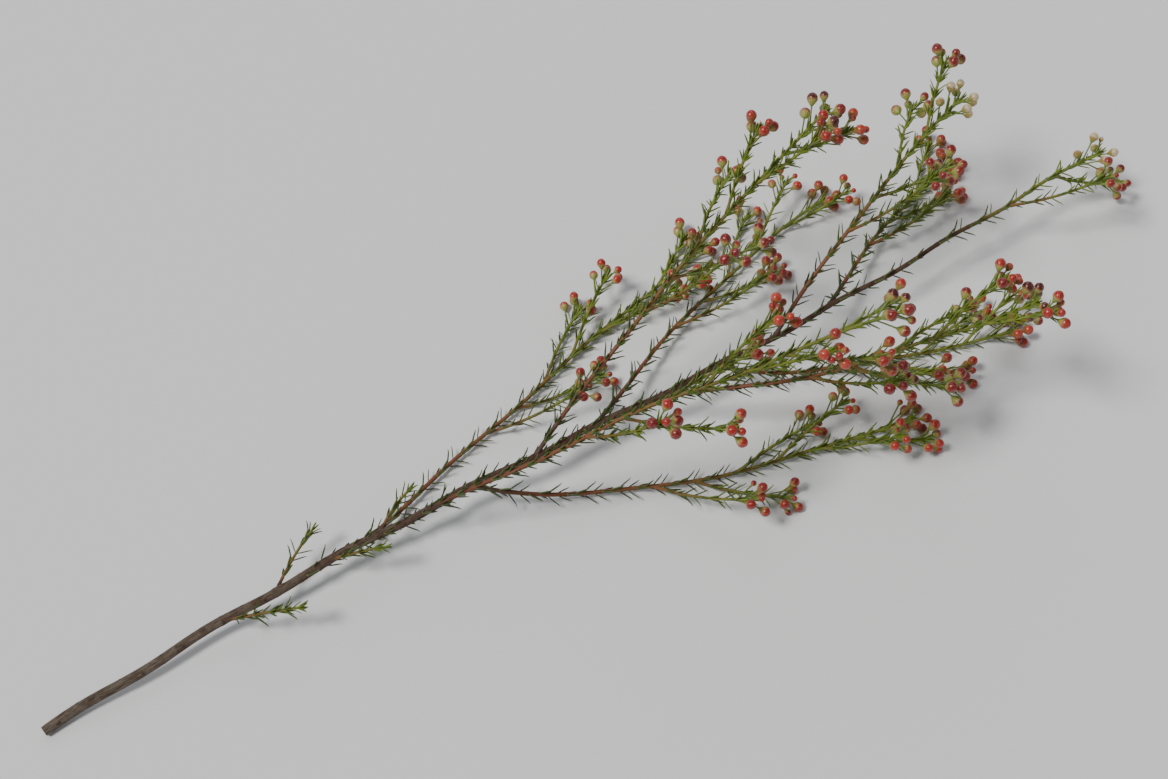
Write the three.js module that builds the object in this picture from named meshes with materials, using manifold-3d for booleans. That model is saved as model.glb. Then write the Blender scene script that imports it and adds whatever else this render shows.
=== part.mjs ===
// Waxflower stem: one cut flowering branch, lying on a flat surface.
//
// Millimetres, +Z up. The woody main stem runs along +X from its cut end. It carries leafy shoots
// low down, then long flowering sprays in crossed pairs, and ends in a spray of its own. Every twig
// has needle leaves in crossed pairs and ends in round buds on thin stalks. Twigs that would grow
// down into the surface lie along it, and what would touch another spray is left off.

import * as THREE from "three";
import { mergeVertices } from "three/addons/utils/BufferGeometryUtils.js";
import Module from "manifold-3d";

const wasm = await Module();
wasm.setup();

// ---- Driving dimensions, in millimetres and degrees ----

const MAIN = {
  woodyLength: 548, // from the cut end to the foot of the leader spray
  leaderLength: 132, // the green end of the same axis
  cutRadius: 2.8,
  topRadius: 1.3,
  rise: 0.092, // slope of the axis as it leaves the cut end
  droop: 0.000068, // how fast that slope falls off towards the tip
  sway: 5, // slow sideways bend
  swayLength: 610,
  kink: 0.9, // small bend from node to node
  kinkLength: 78,
  sides: 8,
  turn: Math.PI / 8, // so that a flat side faces down and the leaves stand on flats
  segments: 20,
};

const SPRAYS = {
  count: 9,
  first: 176, // distance of the lowest spray from the cut end
  spacing: 38,
  longest: 318,
  shortening: 20, // each spray is this much shorter than the one below
  angle: 35,
  ascent: 0.52, // share of its direction that a spray gives up to the axis
  bow: 8, // most that its middle stands out of its own plane
  wave: 1.1, // smaller bends along it
  waveLength: 118,
  footRadius: 1.25,
  tipRadius: 0.8,
  sides: 4,
  turn: 0,
  stepLength: 25,
};

const SHOOTS = {
  count: 4,
  first: 104,
  spacing: 31,
  longest: 46,
  shortening: 5,
  angle: 42,
  footRadius: 0.9,
  tipRadius: 0.65,
};

const BRANCHLETS = {
  spacing: 38, // length of spray for each branchlet
  lowest: 0.36, // where the first leaves the spray, as a share of its length
  highest: 0.92,
  longest: 62,
  shortening: 26, // the highest is this much shorter than the lowest
  angle: 38,
  ascent: 0.5,
  bow: 2.3,
  footRadius: 0.88,
  tipRadius: 0.7,
  sides: 4,
  turn: 0,
  stepLength: 20,
};

const LEAF = {
  spacing: 12, // between one pair and the next, low on a twig
  tipSpacing: 6.5,
  longest: 15.5,
  shortest: 8.5, // near the tips
  width: 1.3,
  thickness: 0.95,
  rootWidth: 0.6,
  angle: 40,
  sides: 3,
};

const BUD = {
  globeRadius: 2.85,
  corners: 1.1, // how far the corners of the faceted globe stand out, as a share of its radius
  cupLength: 4.2, // the green cup under the petals
  globeHeight: 3.9, // from the widest ring to the top
  stalkRadius: 0.42,
  stalkShortest: 6.2,
  stalkShare: 0.42, // extra stalk for each millimetre that its node lies below the tip
  angle: 37,
  sides: 4,
};

const SURFACE = {
  twigHeight: 4.2, // lowest that the middle of a twig lies
  softness: 6, // how gently a twig bends off the surface
  leafHeight: 0.75,
  gap: 0.3, // between a spray's foot and the stem that carries it
  clearance: 0.65, // between pieces of two sprays
};

const COLOURS = {
  bark: 0x7a5f47,
  leafyTwig: 0x6f8440,
  youngShoot: 0x7c9a45,
};

const UP = new THREE.Vector3(0, 0, 1);
const degrees = THREE.MathUtils.degToRad;
const mix = THREE.MathUtils.lerp;

// ---- Seeded variation ----

// A number from 0 to 1 that depends only on the whole numbers given, which name its use.
function scatter(...keys) {
  const factor = 16807;
  const modulus = 2147483647;
  let state = 20117;
  for (const key of keys) state = ((state + key * 7919 + 101) * factor) % modulus;
  state = (state * factor) % modulus;
  state = (state * factor) % modulus;
  return state / modulus;
}

// The same, spread evenly from -size to size.
function jitter(size, ...keys) {
  return size * (2 * scatter(...keys) - 1);
}

// ---- Centre lines ----

// The axis of the main stem and its leader, with t running over the stretch from start to end.
class MainAxis extends THREE.Curve {
  constructor(start, end) {
    super();
    this.start = start;
    this.end = end;
  }

  getPoint(t, target = new THREE.Vector3()) {
    const s = mix(this.start, this.end, t);
    const turn = 2 * Math.PI * s;
    return target.set(
      s,
      MAIN.sway * Math.sin(turn / MAIN.swayLength) + MAIN.kink * Math.sin(turn / MAIN.kinkLength),
      MAIN.cutRadius + MAIN.rise * s - MAIN.droop * s * s,
    );
  }
}

// Height of a twig whose free height would be z: never under the lowest, and unchanged high up.
function liftedHeight(z) {
  const { twigHeight, softness } = SURFACE;
  return twigHeight + softness * Math.log1p(Math.exp((z - twigHeight) / softness));
}

// A side twig that leaves foot along heading and bends towards another direction as it goes. It
// bows out of the plane of that bend, and smaller waves run along it.
class SideAxis extends THREE.Curve {
  constructor(foot, heading, towards, length, { ascent, bow, wave = 0, waveLength = 1 }) {
    super();
    Object.assign(this, { foot, heading, towards, length, ascent, bow, wave, waveLength });
    this.across = heading.clone().cross(towards).normalize();
    this.footLift = foot.z - liftedHeight(foot.z);
  }

  getPoint(t, target = new THREE.Vector3()) {
    const turned = (this.ascent * t * t) / 2;
    const waves = this.wave * Math.sin((2 * Math.PI * this.length * t) / this.waveLength);
    target
      .copy(this.foot)
      .addScaledVector(this.heading, this.length * (t - turned))
      .addScaledVector(this.towards, this.length * turned)
      .addScaledVector(this.across, this.bow * Math.sin(Math.PI * t) + waves);
    target.z = liftedHeight(target.z) + this.footLift * (1 - t);
    return target;
  }
}

// Place, heading, and the two directions across a curve at t, one level and one upright.
function stationOn(curve, t) {
  const along = curve.getTangent(t);
  const level = along.clone().cross(UP).normalize();
  const upright = level.clone().cross(along);
  return { place: curve.getPoint(t), along, level, upright };
}

// The direction at angle from the curve's heading, turned by rank about it.
function outwards(station, rank, angle) {
  return station.along
    .clone()
    .multiplyScalar(Math.cos(angle))
    .addScaledVector(station.level, Math.sin(angle) * Math.cos(rank))
    .addScaledVector(station.upright, Math.sin(angle) * Math.sin(rank));
}

// A direction raised so that a straight piece of that reach keeps its end above the lowest height.
function clearOfSurface(place, direction, reach, lowest) {
  const least = (lowest - place.z) / reach;
  if (direction.z >= least) return direction;
  const flat = Math.hypot(direction.x, direction.y);
  const kept = Math.sqrt(Math.max(0, 1 - least * least)) / flat;
  return new THREE.Vector3(direction.x * kept, direction.y * kept, least);
}

// ---- Space already taken ----

// Every piece is tested as a row of balls, so that no two sprays share space.
class TakenSpace {
  constructor() {
    this.balls = [];
  }

  // True if no ball comes near another owner's, nor a bud's globe into a globe of its own spray.
  isFree(owner, balls) {
    return balls.every((ball) =>
      this.balls.every((other) => {
        const sameOwner = other.owner === owner;
        if (sameOwner && !(ball.globe && other.globe)) return true;
        const room = sameOwner ? 0 : SURFACE.clearance;
        const least = ball.radius + other.radius + room;
        return ball.centre.distanceToSquared(other.centre) >= least * least;
      }),
    );
  }

  take(owner, balls) {
    for (const ball of balls) this.balls.push({ ...ball, owner });
  }

  takeIfFree(owner, balls) {
    const free = this.isFree(owner, balls);
    if (free) this.take(owner, balls);
    return free;
  }
}

const BALL_STEP = 1.6;
const ROOT_DEPTH = 0.38; // of a leaf or stalk, under the surface of its twig

// Balls along a twig, from a share of its length to its tip.
function twigBalls(twig, from = 0) {
  const count = Math.ceil((twig.length * (1 - from)) / BALL_STEP);
  return Array.from({ length: count + 1 }, (_, i) => {
    const t = mix(from, 1, i / count);
    return { centre: twig.curve.getPoint(t), radius: mix(twig.footRadius, twig.tipRadius, t) };
  });
}

// Balls along a straight piece, leaving out its root.
function straightBalls(place, direction, from, to, radius) {
  const count = Math.max(1, Math.ceil((to - from) / BALL_STEP));
  return Array.from({ length: count + 1 }, (_, i) => ({
    centre: place.clone().addScaledVector(direction, mix(from, to, i / count)),
    radius,
  }));
}

// ---- Plan of growth: twigs, then buds, then leaves ----

const taken = new TakenSpace();
const CROSSED = Math.PI / 2; // each pair of leaves stands across the pair below

// The sizes of a twig's section that a group of dimensions gives.
function sectionOf(sizes) {
  const names = ["footRadius", "tipRadius", "sides", "turn", "stepLength"];
  return Object.fromEntries(names.filter((name) => name in sizes).map((name) => [name, sizes[name]]));
}

// How far along its heading a side piece starts from the twig's middle, so that it pierces one
// flat side of the twig and its root stays inside.
function rootStart(twig, t, along, heading) {
  const radius = mix(twig.footRadius, twig.tipRadius, t);
  const flat = radius * Math.cos(Math.PI / twig.sides);
  const lean = along.clone().cross(heading).length();
  return Math.max(0, flat - ROOT_DEPTH) / lean;
}

// Sprays, in the order up the stem, and short leafy shoots; each is one owner of space.
function planSprays() {
  const sprays = [];
  for (let i = 0; i < SPRAYS.count; i += 1) {
    const station = stationOn(stemAxis, (SPRAYS.first + i * SPRAYS.spacing) / MAIN.woodyLength);
    const rank = degrees(225 + 180 * (i % 2) + 90 * (Math.floor(i / 2) % 2) + jitter(9, i, 1));
    const heading = outwards(station, rank, degrees(SPRAYS.angle + jitter(3, i, 2)));
    const length = SPRAYS.longest - i * SPRAYS.shortening + jitter(9, i, 3);
    const bends = { ...SPRAYS, bow: jitter(SPRAYS.bow, i, 15) };
    const curve = new SideAxis(station.place, heading, station.along, length, bends);
    const main = { ...sectionOf(SPRAYS), curve, length };
    sprays.push({ name: `flowering_spray_${i + 1}`, id: i + 1, main, flowers: true });
  }
  return sprays;
}

function planShoots() {
  const shoots = [];
  for (let i = 0; i < SHOOTS.count; i += 1) {
    const station = stationOn(stemAxis, (SHOOTS.first + i * SHOOTS.spacing) / MAIN.woodyLength);
    const rank = degrees(20 + 140 * (i % 2) + jitter(12, i, 4));
    const heading = outwards(station, rank, degrees(SHOOTS.angle));
    const length = SHOOTS.longest - i * SHOOTS.shortening;
    const curve = new SideAxis(station.place, heading, station.along, length, BRANCHLETS);
    const main = { ...sectionOf(BRANCHLETS), ...sectionOf(SHOOTS), curve, length };
    shoots.push({ name: `leafy_shoot_${i + 1}`, id: 20 + i, main, flowers: false });
  }
  return shoots;
}

// Branchlets of one spray, from the lowest up, left off where they would meet another spray.
function planBranchlets(spray) {
  if (!spray.flowers) return [];
  const { main, id } = spray;
  const count = Math.max(2, Math.round(main.length / BRANCHLETS.spacing) - 1);
  const branchlets = [];
  for (let j = 0; j < count; j += 1) {
    const t = mix(BRANCHLETS.lowest, BRANCHLETS.highest, (j + 0.35) / count);
    const station = stationOn(main.curve, t);
    const rank = CROSSED * (j + 0.5) + 2 * CROSSED * (j % 2) + jitter(0.3, id, j, 5);
    const heading = outwards(station, rank, degrees(BRANCHLETS.angle + jitter(5, id, j, 6)));
    const length = BRANCHLETS.longest - (BRANCHLETS.shortening * j) / count + jitter(6, id, j, 7);
    const bends = { ...BRANCHLETS, bow: jitter(BRANCHLETS.bow, id, j, 16) };
    const curve = new SideAxis(station.place, heading, station.along, length, bends);
    const twig = { ...sectionOf(BRANCHLETS), curve, length };
    if (taken.takeIfFree(id, twigBalls(twig))) branchlets.push(twig);
  }
  return branchlets;
}

// Buds in crossed pairs at the last nodes of a twig; the lower their node, the longer the stalk.
function planBuds(spray, twig, index) {
  if (!spray.flowers) return [];
  const belowTip = index === 0 ? [21, 14, 7] : [14, 6.5];
  const buds = [];
  belowTip.forEach((distance, node) => {
    const station = stationOn(twig.curve, 1 - distance / twig.length);
    for (let side = 0; side < 2; side += 1) {
      const keys = [spray.id, index, node, side];
      const rank = CROSSED * (node + 0.5) + Math.PI * side + jitter(0.25, ...keys, 8);
      const free = outwards(station, rank, degrees(BUD.angle + jitter(7, ...keys, 9)));
      const stalk = BUD.stalkShortest + BUD.stalkShare * distance + jitter(1.2, ...keys, 10);
      const size = 1 + jitter(0.1, ...keys, 11);
      const reach = stalk + BUD.cupLength * size;
      const heading = clearOfSurface(station.place, free, reach, BUD.globeRadius * size);
      const globe = station.place.clone().addScaledVector(heading, reach);
      const balls = straightBalls(station.place, heading, 3, stalk, BUD.stalkRadius);
      balls.push({ centre: globe, radius: BUD.globeRadius * size, globe: true });
      if (!taken.takeIfFree(spray.id, balls)) continue;
      const start = rootStart(twig, 1 - distance / twig.length, station.along, heading);
      buds.push({ place: station.place, heading, start, stalk, size });
    }
  });
  return buds;
}

// Leaves in crossed pairs from foot to tip, shorter towards the tip.
function planLeaves(owner, twig, index, first) {
  const leaves = [];
  let reached = first;
  for (let node = 0; reached <= twig.length; node += 1) {
    const t = reached / twig.length;
    reached += mix(LEAF.spacing, twig.tipSpacing, t);
    const station = stationOn(twig.curve, t);
    for (let side = 0; side < 2; side += 1) {
      const keys = [owner, index, node, side];
      const rank = CROSSED * (node + 0.5) + Math.PI * side + jitter(0.22, ...keys, 12);
      const free = outwards(station, rank, degrees(LEAF.angle + jitter(8, ...keys, 13)));
      const grown = mix(twig.leafLength, LEAF.shortest, Math.sqrt(t));
      const length = grown * (1 + jitter(0.14, ...keys, 14));
      const heading = clearOfSurface(station.place, free, length, SURFACE.leafHeight);
      const root = mix(twig.footRadius, twig.tipRadius, t) + 0.8;
      const balls = straightBalls(station.place, heading, root, length, LEAF.width / 2);
      if (!taken.takeIfFree(owner, balls)) continue;
      const start = rootStart(twig, t, station.along, heading);
      const { place, along } = station;
      const order = 2 * (node + index) + side;
      leaves.push({ place, heading, start, length, across: along, order });
    }
  }
  return leaves;
}

// ---- Solids ----

// A closed three.js geometry as a manifold-3d solid.
function solidOf(geometry) {
  const bare = new THREE.BufferGeometry();
  bare.setAttribute("position", geometry.getAttribute("position"));
  bare.setIndex(geometry.getIndex());
  const merged = mergeVertices(bare, 1e-4);
  return new wasm.Manifold(
    new wasm.Mesh({
      numProp: 3,
      vertProperties: new Float32Array(merged.getAttribute("position").array),
      triVerts: new Uint32Array(merged.getIndex().array),
    }),
  );
}

function geometryOf(solid) {
  const mesh = solid.getMesh();
  const geometry = new THREE.BufferGeometry();
  geometry.setAttribute("position", new THREE.BufferAttribute(mesh.vertProperties, 3));
  geometry.setIndex(new THREE.BufferAttribute(mesh.triVerts, 1));
  geometry.computeVertexNormals();
  return geometry;
}

// A round bar that tapers along a curve: an upright cylinder with each point carried to the curve.
function twigSolid(twig, extraRadius = 0) {
  const { curve, length, footRadius, tipRadius, sides, turn, stepLength } = twig;
  const steps = Math.max(3, Math.round(length / stepLength));
  const bar = new THREE.CylinderGeometry(1, 1, 1, sides, steps, false, turn);
  const points = bar.getAttribute("position");
  for (let i = 0; i < points.count; i += 1) {
    const t = points.getY(i) + 0.5;
    const station = stationOn(curve, t);
    const radius = mix(footRadius, tipRadius, t) + extraRadius;
    const point = station.place
      .addScaledVector(station.level, radius * points.getX(i))
      .addScaledVector(station.upright, radius * points.getZ(i));
    points.setXYZ(i, point.x, point.y, point.z);
  }
  return solidOf(bar);
}

// Turns a piece that stands on the origin along +Y so that it stands on place along heading.
function standing(geometry, place, heading, across) {
  const side = across.clone().cross(heading).normalize();
  const front = side.clone().cross(heading);
  const turn = new THREE.Matrix4().makeBasis(side, heading, front.clone());
  return geometry.applyMatrix4(turn.setPosition(place));
}

// A needle leaf: three-sided, widest past its middle, with its root in the middle of the twig.
function leafSolid({ place, heading, start, length, across }) {
  const profile = [
    [0, start],
    [LEAF.rootWidth / 2, start],
    [LEAF.width / 2, length * 0.6],
    [0, length],
  ].map(([radius, height]) => new THREE.Vector2(radius, height));
  const needle = new THREE.LatheGeometry(profile, LEAF.sides);
  needle.scale(1, 1, LEAF.thickness / LEAF.width);
  return solidOf(standing(needle, place, heading, across));
}

// A bud: its stalk, the cup that widens out of it and the round petals that close over it.
function budSolid({ place, heading, start, stalk, size }) {
  const widest = stalk + BUD.cupLength * size;
  const corner = BUD.globeRadius * BUD.corners * size;
  const profile = [
    [0, start],
    [BUD.stalkRadius, start],
    [BUD.stalkRadius, stalk],
    [corner, widest],
    [corner * 0.7, widest + BUD.globeHeight * 0.6 * size],
    [0, widest + BUD.globeHeight * 0.78 * size],
  ].map(([radius, height]) => new THREE.Vector2(radius, height));
  const bud = new THREE.LatheGeometry(profile, BUD.sides);
  return solidOf(standing(bud, place, heading, UP));
}

// ---- The whole stem ----

const stemAxis = new MainAxis(0, MAIN.woodyLength);
const stem = {
  curve: stemAxis,
  length: MAIN.woodyLength,
  footRadius: MAIN.cutRadius,
  tipRadius: MAIN.topRadius,
  sides: MAIN.sides,
  turn: MAIN.turn,
  stepLength: MAIN.woodyLength / MAIN.segments,
  leafLength: LEAF.longest,
  tipSpacing: LEAF.spacing,
};
const STEM_OWNER = 0;
const leaderStart = MAIN.woodyLength + SURFACE.gap;
const leader = {
  curve: new MainAxis(leaderStart, leaderStart + MAIN.leaderLength),
  length: MAIN.leaderLength,
  ...sectionOf(SPRAYS),
  footRadius: MAIN.topRadius,
};
const leaderSpray = { name: "leader_spray", id: 10, main: leader, flowers: true };

const shoots = planShoots();
const sprays = [...planSprays(), leaderSpray];
const branches = [...shoots, ...sprays];
const footOf = (branch) => (branch === leaderSpray ? 0 : 8 / branch.main.length);

taken.take(STEM_OWNER, twigBalls(stem));
for (const branch of branches) taken.take(branch.id, twigBalls(branch.main, footOf(branch)));
for (const branch of branches) branch.twigs = [branch.main, ...planBranchlets(branch)];
for (const branch of branches) {
  branch.buds = branch.twigs.flatMap((twig, index) => planBuds(branch, twig, index));
}
const LEAFLESS = 150; // the bottom of the stem, stripped of its leaves
const NEAR_FOOT = 9;
const stemLeaves = planLeaves(STEM_OWNER, stem, 0, LEAFLESS);
for (const branch of branches) {
  branch.leaves = branch.twigs.flatMap((twig, index) => {
    twig.leafLength = index === 0 ? mix(LEAF.shortest, LEAF.longest, 0.7) : LEAF.shortest * 1.15;
    twig.tipSpacing = LEAF.tipSpacing;
    return planLeaves(branch.id, twig, index, NEAR_FOOT);
  });
}

// Solids show two leaves in nine, which fall on each side in turn.
const shown = (leaf) => leaf.order % 9 === 0 || leaf.order % 9 === 3;

const SIMPLIFY = 0.08; // edges shorter than this, left by fusing, close up

const group = new THREE.Group();
group.name = "waxflower_stem";

// One closed body: what fusing left loose is dropped, and what it sealed in is filled.
function oneBody(solid) {
  const bodies = solid.asOriginal().simplify(SIMPLIFY).decompose();
  return bodies.reduce((largest, body) => (body.volume() > largest.volume() ? body : largest));
}

function addNode(name, solid, colour) {
  const material = new THREE.MeshStandardMaterial({ color: colour, roughness: 0.6, metalness: 0 });
  const mesh = new THREE.Mesh(geometryOf(oneBody(solid)), material);
  mesh.name = name;
  group.add(mesh);
}

const stemSolid = twigSolid(stem);
const stemRoom = twigSolid(stem, SURFACE.gap);
addNode(
  "main_stem",
  wasm.Manifold.union([stemSolid, ...stemLeaves.filter(shown).map(leafSolid)]),
  COLOURS.bark,
);
for (const branch of branches) {
  const solids = [
    ...branch.twigs.map((twig) => twigSolid(twig)),
    ...branch.leaves.filter(shown).map(leafSolid),
    ...branch.buds.map(budSolid),
  ];
  const whole = wasm.Manifold.union(solids);
  const fitted = branch === leaderSpray ? whole : whole.subtract(stemRoom);
  addNode(branch.name, fitted, branch.flowers ? COLOURS.leafyTwig : COLOURS.youngShoot);
}

// The origin lies under the middle of the whole, on the surface.
const bounds = new THREE.Box3().setFromObject(group);
const middle = bounds.getCenter(new THREE.Vector3());
group.position.set(-middle.x, -middle.y, -bounds.min.z);

export default group;
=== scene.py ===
"""Waxflower stem: the looks of one cut flowering branch, lying on a pale floor.

The stem is grown again here, in millimetres, by the rules and seeds that shape its frame, so that
every twig, leaf and bud lies where the frame has it. Each is then made as a fine closed surface
and given its finish.
"""

import logging
import math
from collections.abc import Callable
from dataclasses import dataclass, field, replace
from enum import Enum
from functools import cached_property, reduce

import bpy
import numpy as np
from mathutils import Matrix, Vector


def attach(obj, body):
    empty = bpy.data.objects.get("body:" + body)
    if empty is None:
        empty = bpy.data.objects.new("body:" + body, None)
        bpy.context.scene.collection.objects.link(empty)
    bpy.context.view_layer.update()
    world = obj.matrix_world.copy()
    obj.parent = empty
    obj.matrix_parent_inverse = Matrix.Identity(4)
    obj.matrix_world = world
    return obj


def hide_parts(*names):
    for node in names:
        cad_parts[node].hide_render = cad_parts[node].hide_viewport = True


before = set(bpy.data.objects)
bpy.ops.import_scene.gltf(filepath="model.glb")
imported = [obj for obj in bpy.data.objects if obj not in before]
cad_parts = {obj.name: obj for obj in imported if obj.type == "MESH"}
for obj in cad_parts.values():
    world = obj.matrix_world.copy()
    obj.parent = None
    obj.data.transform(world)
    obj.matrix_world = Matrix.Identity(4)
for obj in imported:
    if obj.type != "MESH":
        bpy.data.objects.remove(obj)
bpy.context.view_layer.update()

log = logging.getLogger("waxflower_stem")

MM = 0.001
END_DEPTH = 2.0  # of the frame's corners that belong to the cut end
UP = np.array([0.0, 0.0, 1.0])
CROSSED = math.pi / 2  # each pair of leaves stands across the pair below
Array = np.ndarray
Colour = tuple[float, float, float]
Keys = tuple[int, ...]
Pair = tuple[float, float]
Pairs = tuple[Pair, ...]
Row = tuple[float, ...]
Material = bpy.types.Material
Mesh = bpy.types.Mesh
Socket = bpy.types.NodeSocket
Stops = tuple[tuple[float, Colour], ...]


class Slot(Enum):
    """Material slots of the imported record."""

    BARK = "bark"
    LEAFY_TWIG = "leafy_twig"
    BUD = "bud"


# ---- Seeded variation ----


def scatter(*keys: int) -> float:
    """Give a number that depends only on its keys, by a chain of modular products.

    Args:
        keys: whole numbers, such as those of branch, twig, node and side.

    Returns:
        A number from 0 to 1.
    """
    state, factor, modulus, key_step, key_shift = 20117, 16807, 2147483647, 7919, 101
    for key in keys:
        state = (state + key * key_step + key_shift) * factor % modulus
    for _ in range(2):
        state = state * factor % modulus
    return state / modulus


class Chance(Enum):
    """Seeded variations: the number that sets each apart, and its spread to either side."""

    SPRAY_RANK = (1, 9.0)
    SPRAY_ANGLE = (2, 3.0)
    SPRAY_LENGTH = (3, 9.0)
    SHOOT_RANK = (4, 12.0)
    BRANCHLET_RANK = (5, 0.3)
    BRANCHLET_ANGLE = (6, 5.0)
    BRANCHLET_LENGTH = (7, 6.0)
    BUD_RANK = (8, 0.25)
    BUD_ANGLE = (9, 7.0)
    BUD_STALK = (10, 1.2)
    BUD_SIZE = (11, 0.1)
    LEAF_RANK = (12, 0.22)
    LEAF_ANGLE = (13, 8.0)
    LEAF_LENGTH = (14, 0.14)
    SPRAY_BOW = (15, 1.0)
    BRANCHLET_BOW = (16, 1.0)
    TUFT_RANK = (21, 0.3)
    TUFT_ANGLE = (22, 5.0)
    TUFT_LENGTH = (23, 0.15)
    TUFT_TONE = (24, 1.0)
    LEAF_TONE = (25, 1.0)
    HUE = (31, 1.0)
    HUE_DRIFT = (32, 0.45)
    BUD_TURN = (33, 1.0)
    BUD_TONE = (34, 1.0)
    BUD_FLUSH = (35, 1.0)
    CLUSTER_HUE = (36, 1.0)
    HUE_IN_CLUSTER = (37, 0.14)
    STRAY_HUE = (38, 1.0)
    SCAR_DRIFT = (41, 1.0)
    AXIL_FILLED = (51, 1.0)
    AXIL_RANK = (52, 0.15)
    AXIL_ANGLE = (53, 8.0)
    AXIL_LENGTH = (54, 1.0)
    BETWEEN_RANK = (55, 0.2)
    BETWEEN_ANGLE = (56, 9.0)
    BETWEEN_LENGTH = (57, 0.2)
    AXIL_TONE = (58, 1.0)
    YOUNG_SIZE = (61, 1.0)
    YOUNG_RANK = (62, 0.5)

    def share(self, *keys: int) -> float:
        """Draw a number from 0 to 1 for these keys."""
        return scatter(*keys, self.value[0])

    def drift(self, *keys: int) -> float:
        """Draw a number from minus the spread to the spread for these keys."""
        return self.value[1] * (2 * self.share(*keys) - 1)


def mix(start: float, end: float, t: float | Array) -> float | Array:
    """Blend from start at 0 to end at 1."""
    return (1 - t) * start + t * end


def unit(vectors: Array) -> Array:
    """Scale vectors, along the last axis, to length one."""
    return vectors / np.maximum(np.linalg.norm(vectors, axis=-1, keepdims=True), 1e-9)


def bell(distance: Array, width: float) -> Array:
    """Give a smooth hump: exp of minus the square of distance over width."""
    return np.exp(-((distance / width) ** 2))


def smooth_step(t: Array) -> Array:
    """Rise from 0 to 1 as 3 t squared minus 2 t cubed."""
    t = np.clip(t, 0, 1)
    return t * t * (3 - 2 * t)


def full_turn(sides: int) -> Array:
    """Give the turns of evenly spaced sides, in radians."""
    return 2 * math.pi * np.arange(sides) / sides


def crossed_rank(node: float | Array, side: int | Array) -> float | Array:
    """Give the turn about a twig of one side of a pair: a quarter for a node, a half for a side."""
    return CROSSED * node + math.pi * side


# ---- Sizes, in millimetres and degrees ----


@dataclass(frozen=True)
class StemSizes:
    """The woody main stem and the run of its axis."""

    woody_length: float = 548.0
    leader_length: float = 132.0
    cut_radius: float = 2.8
    top_radius: float = 1.3
    rise: float = 0.092
    droop: float = 0.000068
    sway: float = 5.0
    sway_length: float = 610.0
    kink: float = 0.9
    kink_length: float = 78.0
    sides: int = 8
    leafless: float = 150.0
    youth: Pair = (0.0, 0.35)  # at the foot and at the tip, 0 for old to 1
    leader_youth: Pair = (0.45, 1.0)
    leader_root: float = 2.0
    leader_owner: int = 10


@dataclass(frozen=True)
class LeafSizes:
    """The needle leaves, and how their pairs are spaced."""

    spacing: float = 12.0
    tip_spacing: float = 6.5
    longest: float = 15.5
    shortest: float = 8.5
    width: float = 1.3
    thickness: float = 0.95
    angle: float = 40.0
    near_foot: float = 9.0
    root_depth: float = 0.38
    root_room: float = 0.8


LEAF = LeafSizes()


@dataclass(frozen=True)
class TwigSizes:
    """One kind of side twig: its place on its carrier, its length, lean, thickness and bends."""

    longest: float
    shortening: float
    angle: float
    foot_radius: float
    tip_radius: float
    count: int = 0
    first: float = 0.0
    spacing: float = 38.0
    first_turn: float = 0.0
    apart: float = 180.0  # between the two of a pair, about the carrier
    ascent: float = 0.5
    bow: float = 2.3
    wave: float = 0.0
    wave_length: float = 1.0
    sides: int = 4
    youth: Pair = (0.0, 1.0)
    leaf_length: float = mix(LEAF.shortest, LEAF.longest, 0.7)
    on_stem: bool = True
    first_owner: int = 1

    def share(self, i: int) -> float:
        """Give the share of the stem's length where twig i of this kind leaves it."""
        return (self.first + i * self.spacing) / STEM.woody_length


@dataclass(frozen=True)
class BranchletSizes(TwigSizes):
    """The twigs that a spray carries, between two shares of its length."""

    lowest: float = 0.36
    highest: float = 0.92
    lead: float = 0.35  # of the first, as a share of the step between two


@dataclass(frozen=True)
class BudSizes:
    """A round bud, its cup and its stalk, and the nodes that carry buds, from the tip."""

    globe_radius: float = 2.85
    cup_length: float = 4.2
    stalk_radius: float = 0.42
    stalk_root: float = 3.0
    stalk_shortest: float = 6.2
    stalk_share: float = 0.42
    angle: float = 37.0
    main_nodes: Row = (21.0, 14.0, 7.0)
    side_nodes: Row = (14.0, 6.5)


@dataclass(frozen=True)
class YoungBudSizes:
    """Smaller buds that fill the clusters, by their distances from the tip."""

    main_nodes: Row = (17.5, 10.5, 4.0)
    side_nodes: Row = (10.0, 4.0)
    ranks: int = 4
    first_key: int = 10
    smallest: float = 0.56
    largest: float = 0.88
    clearance: float = 0.15


@dataclass(frozen=True)
class AxilSizes:
    """Small leaves that fill a twig between its planned pairs."""

    far_apart: float = 7.6
    between_length: float = 1.05  # of the shortest planned leaf
    between_key: int = 9
    share: float = 0.62
    count: int = 3
    shortest: float = 4.2
    longest: float = 8.0
    angle: float = 27.0
    fan: float = 0.6


@dataclass(frozen=True)
class LeafKind:
    """What a kind of leaf has in common; a start or root of 0 is found from its twig."""

    younger: float = 0.0
    width: float = 1.0
    start: float = 0.0
    root: float = 0.0


PAIRED = LeafKind()
AXILLARY = LeafKind(younger=0.15, width=0.85)
TUFTED = LeafKind(younger=1.0, width=0.8, start=0.2, root=1.4)
TUFT_PAIRS = ((3.2, 6.4, 33.0), (1.6, 5.4, 25.0), (0.5, 4.4, 15.0))  # from tip, length, angle


@dataclass(frozen=True)
class LyingSizes:
    """How the stem lies on the floor, and the room that its parts leave each other."""

    twig_height: float = 4.2
    softness: float = 6.0
    leaf_height: float = 0.75
    gap: float = 0.3
    clearance: float = 0.65
    ball_step: float = 1.6
    free_foot: float = 8.0
    near: float = 7.0  # more than two globes and the clearance take


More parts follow.
